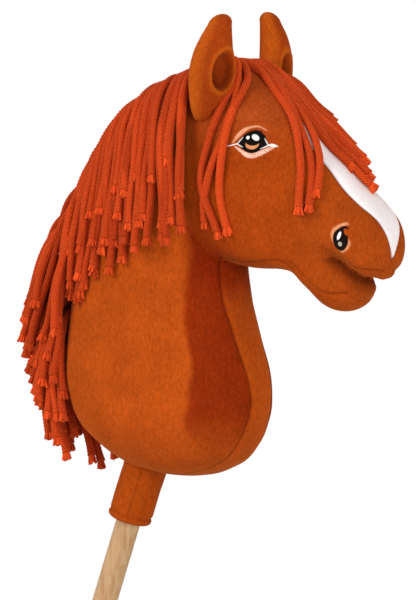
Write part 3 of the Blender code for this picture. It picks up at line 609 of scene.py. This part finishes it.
def make_ear(side):
    """A padded ear: elliptical sections up its height, turned outward, with a hollow pressed into
    the lower front, a raised rim round the hollow and one stitched edge."""
    rows = spline(np.array(EAR), 100)
    rows[:, 4] += EAR_WIDER[side]
    turn = 2 * math.pi * np.arange(96) / 96
    z, cx, cy, rx, ry = (rows[:, k][:, None] for k in range(5))
    ahead, aside = rx * np.cos(turn), ry * np.sin(turn)
    middle, half_width, half_height = EAR_HOLLOW
    hollow = np.hypot((aside + 4.5 + 0.12 * (z - middle)) / half_width, (z - middle) / half_height)
    dent = (1 - smooth(hollow, 0.66, 1.05)) * smooth(ahead / rx, 0.0, 0.35)
    rim = np.exp(-((hollow - 1.12) / 0.12) ** 2) * smooth(ahead / rx, 0.0, 0.3)
    ahead = ahead - 15.0 * dent + 0.8 * rim
    edge = np.exp(-((aside / ry + 0.93) / 0.06) ** 2) * smooth(z, 352, 372)
    shrink = 1 - 0.035 * edge
    c, s = math.cos(EAR_TURN), math.sin(EAR_TURN)
    grid = np.stack([cx + (ahead * c - aside * s) * shrink, cy + (ahead * s + aside * c) * shrink,
                     z + 0 * ahead], -1)
    grid[..., 2] += EAR_TALLER[side] * smooth(z, 390, 440)
    grid = domed(domed(grid * MM + BASE, 12.5 * MM), 5 * MM, start=True, end=False)
    grid[..., 1] *= side
    p = grid.reshape(-1, 3)

    def padded(share, mode="constant"):
        """A share on the sections, carried on over the domes at both ends."""
        return np.pad(share, ((5, 5), (0, 0)), mode=mode).reshape(-1, 1)

    # Painted shade in the hollow, deepest at its bottom and less on one side wall, and a painted highlight
    # on the rim round the hollow and along the ear's sides
    dark = padded(smooth(dent, 0.1, 0.6))
    light = padded(np.maximum(rim, smooth(np.abs(aside) / ry, 0.6, 1.0) * 0.8), "edge")
    wall = padded(smooth(-aside, -2.0, 10.0), "edge")
    tint = linear(EAR_OUT) + (linear(EAR_RIM_HIGHLIGHT) - linear(EAR_OUT)) * light
    shade = (0.62 + 0.38 * (1 - smooth(p[:, 2:] / MM - BASE[2] / MM, 380, 402))) * (1 - 0.45 * wall)
    tint = tint + (linear(EAR_HOLLOW_SHADE) - tint) * dark * shade
    quads = quads_of(*grid.shape[:2])
    quads = quads if side < 0 else quads[:, ::-1]
    seam = 0.9 * MM + NO_SEAM * (1 - padded(edge).ravel())
    return mesh_object("plush_ear_" + ("left" if side > 0 else "right"), p, quads, PLUSH,
                       tint=tint, seam=seam, blaze=np.full(len(p), NO_BLAZE))


def make_cuff():
    """The plush cuff: P(t, s) round the stick's axis, with a rolled hem below, soft folds, a line
    of stitches above the hem and one seam."""
    across = np.array([math.cos(LEAN), 0.0, -math.sin(LEAN)])
    side = np.array([0.0, 1.0, 0.0])
    outer, inner, roll = CUFF_RADIUS, STICK_RADIUS + 2.4 * MM, 4.0 * MM
    lining = [(inner, 58 * MM), (inner, 20 * MM), (inner, 0.5 * MM)]
    hem = [(outer - roll + 1.1 * roll * math.cos(a), roll + roll * math.sin(a))
           for a in np.radians(np.linspace(-90, 60, 14))]
    wall = [(outer, s * MM) for s in np.linspace(9, 61, 40)]
    profile = np.array(lining + hem + wall + [(inner + 2 * MM, 60 * MM)])
    turn = 2 * math.pi * np.arange(120) / 120
    r, s = profile[:, 0][:, None], profile[:, 1][:, None]
    skin = smooth(r, outer - 3 * MM, outer) * smooth(s, 6 * MM, 14 * MM)
    fold = 0.7 * np.sin(5 * turn + s / MM * 0.09) * smooth(s, 20 * MM, 60 * MM)
    fold = fold + 0.35 * np.sin(11 * turn + 2)
    stitch = np.exp(-((s - 8 * MM) / (1.2 * MM)) ** 2) * smooth(r, outer - 2 * MM, outer)
    seam_at = math.radians(-62.0)
    gap = np.abs((turn - seam_at + math.pi) % (2 * math.pi) - math.pi) * outer
    line = np.exp(-(gap / (1.6 * MM)) ** 2) * skin
    r = r + (fold * skin - 0.5 * stitch - 0.8 * line) * MM
    out = np.cos(turn)[:, None] * across + np.sin(turn)[:, None] * side
    grid = BASE - AXIS * CUFF_LENGTH + r[..., None] * out + s[..., None] * AXIS
    near = np.broadcast_to(gap, r.shape) + 0.6 * MM
    p = grid.reshape(-1, 3)
    return mesh_object("plush_cuff", p, quads_of(*grid.shape[:2])[:, ::-1], PLUSH,
                       tint=np.tile(linear(CUFF), (len(p), 1)), seam=near.ravel(),
                       blaze=np.full(len(p), NO_BLAZE))


# Painted forms, in millimetres from the middle of the eye or of the nostril: edges as (x, z), and
# brushed lines as (x, z, half width)
EYE_NARROW = 1.08
LID_BROWN = (150, 60, 20)
LID_PEACH = (240, 170, 130)
LID_ROSE = (226, 150, 112)
LID_PALE = (255, 232, 220)
LID_WHITE = (255, 244, 238)
LIGHT_WHITE = (255, 255, 255)
EYE_BLACK = (16, 14, 14)
EYE_IRIS = (222, 146, 92)
RIM_TAN = (222, 152, 108)
NOSTRIL_BLACK = (22, 16, 14)
NOSTRIL_LIGHT = (255, 252, 250)
NOSTRIL_DOT = (178, 164, 146)
EYE_TOP = [(-19.5, -3), (-17, 1), (-12, 6.8), (-6, 10.8), (0, 12.6), (6, 11.6), (12, 7),
           (17, 0.6), (20, -3.2)]
EYE_BOTTOM = [(-20, -2.6), (-17, -3.2), (-12, -6.6), (-6, -9.6), (0, -10.8), (6, -9.6),
              (12, -6.2), (16, -3.2), (20, -2.8)]
LID_EDGE = [(-24, -1.5, 0.6), (-20, 4, 1.9), (-13.5, 10.8, 2.2), (-7, 14.4, 1.2), (2, 15.8, 0.7),
            (12, 12.4, 0.3)]
LID_LOW = [(-20, -5.2, 0.6), (-13, -8.6, 1.5), (-5, -12.2, 2.3), (3, -13, 2.6), (11, -10, 2.7),
           (19, -6, 2.1), (25, -3, 0.9)]
EYE_WHITES = [[(-30, -5, 0.2), (-25, -4, 0.6), (-18.5, -2.2, 0.5)],
              [(-18, -2.2, 0.4), (-15.4, 1, 0.45), (-12.4, 4.6, 0.2)],
              [(-18, -2.4, 0.4), (-14.6, -3.8, 0.45), (-11, -5.2, 0.2)],
              [(18, -1.6, 0.6), (21, -1.6, 1.3), (25, -2, 1), (28, -2.6, 0.3)],
              [(17.6, -1.8, 0.5), (14.6, 1.6, 0.4), (12, 4.6, 0.2)],
              [(18, -2.2, 0.6), (14, -4, 0.5), (10, -5.8, 0.2)]]
NOSTRIL_RIM = [[(-8, -3.4, 0.6), (-8.6, 3.4, 1.2), (-5.4, 8.8, 1.7), (0.6, 11.6, 1.7), (7.6, 13, 1.5),
                (11, 12, 0.5)],
               [(8.6, -2.4, 0.6), (8.6, -6.6, 1.5), (4.2, -11, 1.3), (-1, -12.6, 1),
                (-4.6, -10.4, 0.4)]]
NOSTRIL_HOOK = [(-1, 7, 1.6), (4, 9.6, 1.6), (8, 9.6, 1.1), (10.8, 7.6, 0.4)]


def ellipse(x, z, place, size, turn=0.0, soft=0.35):
    """How far inside an ellipse, from 0 to 1, with a soft edge in millimetres."""
    c, s = math.cos(math.radians(turn)), math.sin(math.radians(turn))
    dx, dz = x - place[0], z - place[1]
    u, v = (dx * c + dz * s) / size[0], (-dx * s + dz * c) / size[1]
    radius = np.hypot(u, v)
    return smooth((1 - radius) * min(size), -soft, soft)


def band(x, z, line, soft=0.5, share=1.0):
    """How far inside a brushed line, or a share of its width, from 0 to 1."""
    row = spline(line, 60)
    gap = np.hypot(x[:, None] - row[None, :, 0], z[:, None] - row[None, :, 1])
    best = np.argmin(gap, 1)
    half = row[best, 2] * share
    return smooth(half - gap[np.arange(len(x)), best], -soft, soft) * (half > 0.05)


def eye_paint(x, z, tint):
    """An almond eye: a brown upper lid with a peach edge, a mottled pale lower lid, a black almond,
    an orange crescent, and white corners and lights."""
    x = x * EYE_NARROW
    upper = np.interp(x, *zip(*EYE_TOP))
    lower = np.interp(x, *zip(*EYE_BOTTOM))
    over = smooth(z, 2.0, 5.0) * (1 - smooth(z - upper, 1.6, 3.2))
    over = over * (1 - smooth(x, 10, 15)) * smooth(x, -24, -20)
    tint = painted(tint, 0.8 * over, LID_BROWN)
    speck = 0.5 + 0.5 * np.sin(x * 2.1 + 1.3 * np.sin(z * 2.7)) * np.sin(z * 2.4 + 1.1 * np.sin(x * 1.9))
    tint = painted(tint, (0.6 + 0.35 * speck) * band(x, z, LID_EDGE, 0.9), LID_PEACH)
    tint = painted(tint, 0.95 * band(x, z, LID_LOW, 0.7), LID_ROSE)
    tint = painted(tint, 0.95 * band(x, z, LID_LOW, 0.9, 0.8) * smooth(speck, 0.35, 0.75), LID_PALE)
    black = smooth(np.minimum(upper - z, z - lower), -0.3, 0.5)
    tint = painted(tint, black, EYE_BLACK)
    iris = ellipse(x, z, (-0.4, -1.6), (7.8, 5.2)) * (1 - ellipse(x, z, (-0.4, 1.4), (8.6, 4.6)))
    tint = painted(tint, iris, EYE_IRIS)
    for line in EYE_WHITES:
        tint = painted(tint, band(x, z, line, 0.4), LID_WHITE)
    tint = painted(tint, ellipse(x, z, (1.8, 5.0), (4.6, 2.5), -25), LIGHT_WHITE)
    return painted(tint, ellipse(x, z, (-6.6, 4.4), (1.8, 1.7)), LIGHT_WHITE)


def nostril_paint(x, z, tint):
    """A painted nostril: a brushed tan rim, a black comma with a hook above, a white light and a dot."""
    for line in NOSTRIL_RIM:
        tint = painted(tint, 0.8 * band(x, z, line, 0.9), RIM_TAN)
    body = ellipse(x, z, (0.0, -1.2), (8.3, 10.8), -14)
    notch = ellipse(x, z, (9.6, 5.4), (4.6, 4.2))
    tint = painted(tint, body * (1 - notch), NOSTRIL_BLACK)
    tint = painted(tint, band(x, z, NOSTRIL_HOOK), NOSTRIL_BLACK)
    tint = painted(tint, ellipse(x, z, (-0.8, 2.8), (1.6, 4.2), -35), NOSTRIL_LIGHT)
    return painted(tint, ellipse(x, z, (-1.6, -5.2), (2.2, 2.2)), NOSTRIL_DOT)


def make_patch(name, place, size, tilt, side, paint, surface):
    """A thin painted patch that follows the plush: rays across the head carry a flat grid onto it,
    and its outermost rows sink into the pile."""
    across, up = (int(length / PATCH_STEP) for length in size)
    x, z = np.meshgrid(np.linspace(-0.5, 0.5, across) * size[0], np.linspace(-0.5, 0.5, up) * size[1])
    c, s = math.cos(math.radians(tilt)), math.sin(math.radians(tilt))
    px, pz = place[0] + x * c - z * s, place[1] + x * s + z * c
    starts = np.stack([px * MM + BASE[0], np.full(px.shape, side * 0.12), pz * MM + BASE[2]], -1)
    points = []
    for start in starts.reshape(-1, 3):
        hit, normal, _, _ = surface.ray_cast(Vector(start), Vector((0, -side, 0)))
        if hit is None:
            hit, normal, _, _ = surface.find_nearest(Vector((start[0], 0, start[2])))
        points.append(tuple(hit + normal * PATCH_LIFT))
    points = np.array(points)
    row, column = np.indices((up, across))
    rim = np.minimum.reduce([column, across - 1 - column, row, up - 1 - row]).ravel()
    points[:, 1] -= side * np.clip(1 - rim / 3, 0, 1) ** 2 * 1.2 * MM
    tint = paint(x.ravel(), z.ravel(), plush_tint(points))
    quads = quads_of(up, across, closed=False)
    quads = quads if side < 0 else quads[:, ::-1]
    return mesh_object(name, points, quads, PLUSH, tint=tint, seam=np.full(len(points), NO_SEAM),
                       blaze=np.full(len(points), NO_BLAZE))


# Cords


CORD_RADIUS = 3.75 * MM
CORD_REST = 3.5 * MM
CORD_SPACING = 6.2 * MM
STEP = 6.0 * MM
STRANDS = 7
POINTS_PER_STRAND = 3
PITCH = 25.0 * MM
SWAY = 1.4 * MM
YARNS = 10
YARN_LENGTH = (9.0, 11.5)
GOLDEN_TURN = 2.4
# Each lock of the mane: the axis (0 for x, 2 for z) that places its upper end on the crest, where
# that is, and the size of its cords. The last row only ends the lock before it.
LOCKS = [(0, 84.5, 1.06), (0, 56.5, 1.03), (0, 28.5, 1), (0, 0.5, 1), (0, -27.5, 1),
         (2, 303, 1), (2, 268, 1.13), (2, 233, 0.96), (2, 198, 0.86), (2, 163, 0.76),
         (2, 128, 0.7), (2, 98, 1)]
# For each lock, how its cords drift along x as they bend down
DRIFT = [0.04, -0.02, -0.07, -0.08, -0.08, -0.04, -0.29, -0.06, 0.08, 0.17, 0.26]
# Each cord of a side lock: its share of the way along the lock, its length and its layer
SIDE_CORDS = [(0.12, 190, 0), (0.38, 178, 0), (0.62, 196, 0), (0.88, 184, 0), (0.25, 160, 1),
              (0.5, 122, 1), (0.75, 176, 1), (1.0, 142, 1)]
# For each side lock: the turn of its first and last cord from straight back, how far a cord is
# thrown before it hangs, and how steeply it leaves its root
FAN = [(96, 90), (90, 88), (88, 85), (85, 82), (82, 79)]
THROW = [33, 32, 30, 25, 21]
RISE = [0.6, 0.45, 0.2, 0.1, 0.1]
PARTING = 4.5 * MM
# Each cord of a neck lock: its share of the way, its turn, its length and its layer
BACK_CORDS = [(0.15, -82, 142, 0), (0.7, -60, 138, 0), (0.35, -38, 142, 0), (0.85, -16, 148, 0),
              (0.2, 5, 146, 0), (0.6, 26, 152, 0), (0.3, 46, 156, 0), (0.8, 64, 160, 0),
              (0.5, 82, 162, 0), (0.3, -66, 118, 1), (0.6, -30, 132, 1), (0.45, 10, 136, 1)]
BACK_RISE = 0.1
# Places along each cord of the forelock. The first ones hang free, and the root is sunk.
FREE_POINTS = 8
ROOT_SUNK = 4 * MM
FORELOCK = {
    "forelock_right": [
        [(98, -8, 402), (118, -18, 402), (132, -40, 379), (129, -50, 366), (127, -57, 352), (119, -62, 325),
         (110, -63, 298), (109, -63, 278), (116, -63, 260), (124, -62, 242), (126, -62, 231)],
        [(98, 0, 402), (124, -8, 402), (142, -24, 382), (143, -40, 366), (137, -52, 349), (133, -60, 321),
         (125, -62, 300), (119, -63, 280), (111, -63, 260), (107, -62, 241)],
        [(98, -4, 402), (121, -13, 403), (136, -36, 372), (140, -48, 352), (138, -57, 330), (136, -60, 305),
         (132, -61, 270), (134, -61, 250), (136, -60, 236)]],
    "forelock_front": [
        [(98, 4, 401), (126, 0, 402), (155, -8, 381), (178, -18, 357), (197, -28, 333), (210, -36, 309),
         (219, -42, 285), (220, -46, 257)],
        [(98, 7, 401), (128, 4, 402), (157, -4, 384), (182, -13, 362), (203, -23, 337), (218, -31, 313),
         (227, -38, 285), (229, -42, 259)],
        [(98, 10, 401), (130, 8, 402), (161, 1, 385), (187, -7, 362), (210, -17, 337), (225, -26, 313),
         (234, -33, 287), (236, -37, 271)]],
    "forelock_left": [
        [(98, 2, 401), (136, -4, 394), (164, -3, 365), (187, -5, 339), (207, -5, 319), (226, -4, 303),
         (241, -2, 292)],
        [(98, 6, 401), (138, 6, 398), (168, 4, 367), (195, 2, 335), (216, 0, 318), (235, 0, 302),
         (251, 2, 290), (263, 4, 281), (268, 5, 278)],
        [(98, 12, 401), (136, 11, 401), (167, 10, 373), (190, 9, 351), (214, 8, 331), (232, 8, 315),
         (251, 9, 300), (262, 11, 289)],
        [(98, 14, 401), (135, 14, 401), (166, 13, 376), (190, 12, 354), (213, 13, 335), (230, 13, 319),
         (246, 14, 304)],
        [(98, 16, 400), (134, 16, 401), (166, 15, 379), (190, 16, 357), (212, 17, 339), (226, 17, 325),
         (240, 18, 312), (249, 19, 304)],
        [(100, 22, 398), (133, 22, 399), (163, 23, 381), (186, 26, 359), (207, 28, 343), (222, 28, 328),
         (231, 30, 317)],
        [(106, 28, 396), (132, 29, 394), (163, 30, 382), (182, 34, 360), (199, 37, 346)]],
}


def lifted(point, surface, clearance):
    """The point, moved straight out of the plush until it keeps the clearance."""
    for _ in range(3):
        place, normal, _, _ = surface.find_nearest(point)
        away = point - place
        inside = away.dot(normal) < 0
        if not inside and away.length >= clearance:
            break
        way = normal if inside or away.length < 0.3 * MM else away.normalized()
        point = place + way * clearance
    return point


def draped(root, heading, length, layer, throw, drift, surface, laid):
    """A cord's route in short steps: it leaves its root along the heading, bends down under its
    own weight, drifting along x, and rests on the plush or on the cords laid already."""
    points, way = [root], Vector(heading).normalized()
    for k in range(int(length / STEP)):
        way = (way + Vector((drift, 0, -1)) * (STEP / throw)).normalized()
        rest = CORD_REST + layer * 0.86 * CORD_SPACING * min(1.0, k * STEP / throw)
        ahead = lifted(points[-1] + way * STEP, surface, rest)
        if (k + 1) * STEP > 14 * MM and len(laid):
            for _ in range(4):
                out = surface.find_nearest(ahead)[1]
                short = CORD_SPACING - np.linalg.norm(laid - np.array(ahead), axis=1).min()
                if short <= 0:
                    break
                ahead = ahead + out * short
        run = ahead - points[-1]
        way = run.normalized()
        points.append(points[-1] + way * STEP if run.length > 1.6 * STEP else ahead)
    return points


def evened(points, step):
    """The route smoothed and read at even steps along its length."""
    line = np.array([tuple(p) for p in points])
    for _ in range(2):
        line[1:-1] = (line[:-2] + 2 * line[1:-1] + line[2:]) / 4
    line = spline(line, len(line) * 8)
    along = np.concatenate([[0], np.cumsum(np.linalg.norm(np.diff(line, axis=0), axis=1))])
    marks = np.linspace(0, along[-1], max(8, int(along[-1] / step)))
    return np.stack([np.interp(marks, along, line[:, k]) for k in range(3)], 1), marks


def frames_along(line):
    """Two directions across the line at each point, carried along it without turning."""
    run = np.gradient(line, axis=0)
    run /= np.linalg.norm(run, axis=1)[:, None]
    across = np.cross(run[0], [0.3, 0.9, 0.2])
    rows = []
    for way in run:
        across = across - way * (across @ way)
        across /= np.linalg.norm(across)
        rows.append(across)
    rows = np.array(rows)
    return run, rows, np.cross(run, rows)


class Bundle:
    """Grids of points gathered into one mesh with their own attributes."""

    def __init__(self):
        self.points, self.quads, self.groove, self.dye, self.count = [], [], [], [], 0

    def add(self, grid, groove, dye):
        """One closed tube with its darkening by point, which is painted shade in a cord's grooves and a
        random tone on a loose yarn, and its dye with painted layer shade as a whole.
        """
        rings, around = grid.shape[:2]
        self.quads.append(quads_of(rings, around, first=self.count)[:, ::-1])
        self.points.append(grid.reshape(-1, 3))
        self.groove.append(groove.ravel())
        self.dye.append(np.full(rings * around, dye))
        self.count += rings * around

    def made(self, name):
        """All the tubes as one object."""
        return mesh_object(name, np.concatenate(self.points), np.concatenate(self.quads), CORDS,
                           groove=np.concatenate(self.groove), dye=np.concatenate(self.dye))


def tube(line, north, west, radius, angle):
    """P(s, t) = line(s) + r(s, t) (cos(angle) north(s) + sin(angle) west(s)), closed at its ends."""
    ring = np.cos(angle)[..., None] * north[:, None] + np.sin(angle)[..., None] * west[:, None]
    return with_caps(line[:, None] + radius[..., None] * ring)


def add_tuft(bundle, tip, way, north, west, dye, gen):
    """The end of a cord: loose yarns that start inside it and spread past its tip."""
    down = way + np.array([0, 0, -0.3])
    down /= np.linalg.norm(down)
    s = np.linspace(0, 1, 6)[:, None]
    radius = (1.5 - 0.1 * s ** 2) * MM
    turn = 2 * math.pi * np.arange(5)[None] / 5
    for k in range(YARNS):
        a = GOLDEN_TURN * k + gen.uniform(-0.3, 0.3)
        share = math.sqrt((k + 0.5) / YARNS)
        out = math.cos(a) * north + math.sin(a) * west
        length = gen.uniform(*YARN_LENGTH) * MM
        spread = share * (0.6 + gen.uniform(0.55, 0.9) * s ** 1.2)
        path = tip - way * 2.5 * MM + down * length * s + out * CORD_RADIUS * spread
        yarn = tube(path, *frames_along(path)[1:], radius, turn)
        # A random darker tone for each loose yarn
        groove = np.full(yarn.shape[:2], gen.uniform(0.0, 0.35))
        bundle.add(yarn, groove, np.clip(dye + gen.uniform(-0.2, 0.1), 0, 1))


def add_cord(bundle, points, gen, layer_shade=0.1):
    """A twisted cord: a tube of angle t - 2 pi s / pitch along its route, whose radius dips between
    seven strands, with a little sway and a tuft at its end."""
    line, marks = evened(points, 1.5 * MM)
    run, north, west = frames_along(line)
    sway = SWAY * smooth(marks, 10 * MM, 60 * MM)[:, None]
    line = line + sway * (np.sin(marks * gen.uniform(35, 70) + gen.uniform(0, 6.28))[:, None] * north
                          + np.sin(marks * gen.uniform(35, 70) + gen.uniform(0, 6.28))[:, None] * west)
    around = STRANDS * POINTS_PER_STRAND
    turn = 2 * math.pi * np.arange(around) / around
    phase = gen.uniform(0, 6.28)
    angle = turn[None] - 2 * math.pi * marks[:, None] / PITCH + phase
    loose = 1 + 0.2 * np.exp(-(marks[-1] - marks) / (5 * MM))
    strand = (1 - np.cos(STRANDS * turn)) / 2
    radius = CORD_RADIUS * (1.08 - 0.24 * strand[None]) * loose[:, None]
    # The dye differs at random from cord to cord, and painted shade darkens the lower layers more
    dye = layer_shade + gen.uniform(-0.1, 0.25)
    # Painted shade in the grooves between the strands
    groove = np.pad(np.broadcast_to(strand ** 2, radius.shape), ((2, 2), (0, 0)), mode="edge")
    bundle.add(tube(line, north, west, radius, angle), groove, dye)
    add_tuft(bundle, line[-1], run[-1], north[-1], west[-1], dye, gen)


def crest_line():
    """The crest of the poll and the neck, from behind the ears down to the last lock."""
    rail = np.array([row[2:4] for row in NECK if row[3] > 70.0][::-1])
    line = spline(np.vstack([POLL_LINE, rail]), 180)
    return [Vector((x * MM + BASE[0], 0.0, z * MM + BASE[2])) for x, z in line]


def crest_stretch(lock, side, surface):
    """The stretch of the crest that a lock is sewn to, on the plush beside the parting."""
    (axis, start, _), (next_axis, end, _) = LOCKS[lock], LOCKS[lock + 1]
    aside = Vector((0.0, PARTING * side, 0.0))
    line = [lifted(point + aside, surface, CORD_REST) for point in crest_line()]
    first = min(range(len(line)), key=lambda k: abs(line[k][axis] - BASE[axis] - start * MM))
    last = min(range(len(line)), key=lambda k: abs(line[k][next_axis] - BASE[next_axis] - end * MM))
    return line[first:last + 1]


def cords_of(lock, side):
    """Each cord of a lock: its share of the way along the lock, its turn, length and layer."""
    if not side:
        return BACK_CORDS
    first, last = FAN[lock]
    return [(share, (first + (last - first) * share) * side, length, layer)
            for share, length, layer in SIDE_CORDS]


def make_mane(surface):
    """Locks of cords stitched along the crest. The lowest lock is laid first, and each lies over
    the one below."""
    made, laid = {}, []
    for lock in reversed(range(len(LOCKS) - 1)):
        axis, _, size = LOCKS[lock]
        for side in ((-1, 1) if axis == 0 else (0,)):
            gen = np.random.default_rng(100 + lock * 3 + side)
            backing, routes, bundle = crest_stretch(lock, side, surface), [], Bundle()
            for share, turn, length, layer in cords_of(lock, side):
                place = share * (len(backing) - 1)
                root = backing[int(place)].lerp(backing[min(int(place) + 1, len(backing) - 1)], place % 1)
                turn = math.radians(turn + gen.uniform(-4, 4))
                full = size ** 0.6 if turn > 0.5 and not side else size
                length *= gen.uniform(0.94, 1.04) * full * MM
                heading = (-math.cos(turn), math.sin(turn), RISE[lock] if side else BACK_RISE)
                near = np.array([p for other in laid + ([] if side else routes) for p in other])
                throw = THROW[lock] * MM if side else (12 + 12 * abs(math.sin(turn))) * MM
                routes.append(draped(root, heading, length, layer, throw, DRIFT[lock], surface, near))
                # Painted shade: the cords of the lower layer are darker
                add_cord(bundle, routes[-1], gen, 0.28 - 0.16 * layer)
            name = "mane_lock_%02d%s" % (lock + 1, {-1: "_right", 1: "_left", 0: ""}[side])
            made[name] = bundle.made("cords_" + name)
            if not side:
                laid += routes
    return made


def make_forelock(surface):
    """Three locks from the poll: one past the right ear, one beside the blaze, one over it."""
    made = {}
    for k, (name, cords) in enumerate(FORELOCK.items()):
        gen, bundle = np.random.default_rng(40 + k), Bundle()
        for places in cords:
            places = spline(places, len(places) * 5)
            line = [lifted(Vector(p * MM + BASE), surface, CORD_REST) for p in places]
            if name != "forelock_left":
                seats = [surface.find_nearest(p) for p in line[FREE_POINTS:]]
                line[FREE_POINTS:] = [place + normal * CORD_REST for place, normal, _, _ in seats]
            add_cord(bundle, [line[0] - Vector((0, 0, ROOT_SUNK))] + line[1:], gen)
        made[name] = bundle.made("cords_" + name)
    return made


# Assembly

# Each painted patch: the x and z of its middle, its size, its tilt in degrees, and its painter
PATCHES = {"eye_": ((166, 320), (64, 42), -4, eye_paint),
           "nostril_": ((260.5, 225.5), (30, 34), 8, nostril_paint)}
skin = make_skin()
body_tree = BVHTree.FromPolygons([vertex.co for vertex in skin.data.vertices],
                                 [face.vertices for face in skin.data.polygons])
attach(skin, "head")
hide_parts("neck_panel_left", "neck_panel_right", "chest_gusset", "neck_stuffing", "head_stuffing",
            "head_panel_left", "head_panel_right", "blaze_panel", "lip_gusset", "jaw_gusset")
for side, word in ((1, "left"), (-1, "right")):
    ear = make_ear(side)
    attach(ear, "head")
    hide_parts("ear_" + word, "ear_lining_" + word)
    for node, (place, size, tilt, paint) in PATCHES.items():
        piece = make_patch("painted_" + node + word, place, size, tilt, side, paint, body_tree)
        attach(piece, "head")
        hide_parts(node + word)
cuff = make_cuff()
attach(cuff, "head")
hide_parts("cuff")
for node, piece in {**make_mane(body_tree), **make_forelock(body_tree)}.items():
    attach(piece, "head")
    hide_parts(node)
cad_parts["stick"].data.materials.clear()
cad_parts["stick"].data.materials.append(WOOD)

# Light, floor and camera

HEAD_MIDDLE = (0.29, 0, 0.75)
WORLD_STRENGTH = 0.55
VIEW_TARGET = (0.2924, 0.0003, 0.7578)
VIEW_AZIMUTH = 35.0
VIEW_DISTANCE = 4.5
VIEW_HEIGHT = 0.6


def add_area(name, place, size, power, target):
    """A square lamp that faces the target."""
    lamp = bpy.data.lights.new(name, "AREA")
    lamp.size = size
    lamp.energy = power
    made = bpy.data.objects.new(name, lamp)
    made.location = place
    made.rotation_euler = (Vector(target) - Vector(place)).to_track_quat("-Z", "Y").to_euler()
    bpy.context.scene.collection.objects.link(made)


def make_world(strength):
    """White surroundings, dimmer as light than as the camera sees them."""
    world = bpy.data.worlds.new("studio")
    bpy.context.scene.world = world
    world.use_nodes = True
    tree = world.node_tree
    back = tree.nodes["Background"]
    back.inputs["Color"].default_value = (1, 1, 1, 1)
    path = tree.nodes.new("ShaderNodeLightPath")
    total = path.outputs["Is Camera Ray"]
    for extra in ("Is Glossy Ray", "Is Transmission Ray"):
        most = tree.nodes.new("ShaderNodeMath")
        most.operation = "MAXIMUM"
        tree.links.new(total, most.inputs[0])
        tree.links.new(path.outputs[extra], most.inputs[1])
        total = most.outputs[0]
    tree.links.new(ramp(tree, total, strength, 1.0), back.inputs["Strength"])


def make_floor(height):
    """A round white floor at the given height."""
    turn = 2 * math.pi * np.arange(64) / 64
    rings = np.array([0.01, 1.0, 3.0])[:, None]
    grid = np.stack([0.25 + rings * np.cos(turn), rings * np.sin(turn), np.full((3, 64), height)], -1)
    finish, tree, shader = new_material("floor", 0.8)
    shader.inputs["Base Color"].default_value = (0.9, 0.9, 0.9, 1.0)
    mesh_object("floor", grid.reshape(-1, 3), quads_of(3, 64), finish)


def make_camera(target, azimuth, distance, long_side):
    """A level camera that shows the long side, in metres, at the target's distance."""
    camera = bpy.data.cameras.new("camera")
    camera.sensor_fit = "AUTO"
    camera.sensor_width = 36.0
    camera.lens = 36.0 * distance / long_side
    camera.clip_end = 50.0
    made = bpy.data.objects.new("camera", camera)
    a = math.radians(azimuth)
    made.location = Vector(target) + Vector((math.sin(a), -math.cos(a), 0.0)) * distance
    made.rotation_euler = (math.pi / 2, 0.0, a)
    bpy.context.scene.collection.objects.link(made)
    bpy.context.scene.camera = made


make_world(WORLD_STRENGTH)
make_floor(CAD_BOX[0][2])
add_area("key", (-0.9, -2.6, 2.3), 1.6, 52, HEAD_MIDDLE)
add_area("fill", (2.8, -1.6, 1.0), 2.0, 40, HEAD_MIDDLE)
make_camera(VIEW_TARGET, VIEW_AZIMUTH, VIEW_DISTANCE, VIEW_HEIGHT)
bpy.context.scene.view_settings.view_transform = "Standard"
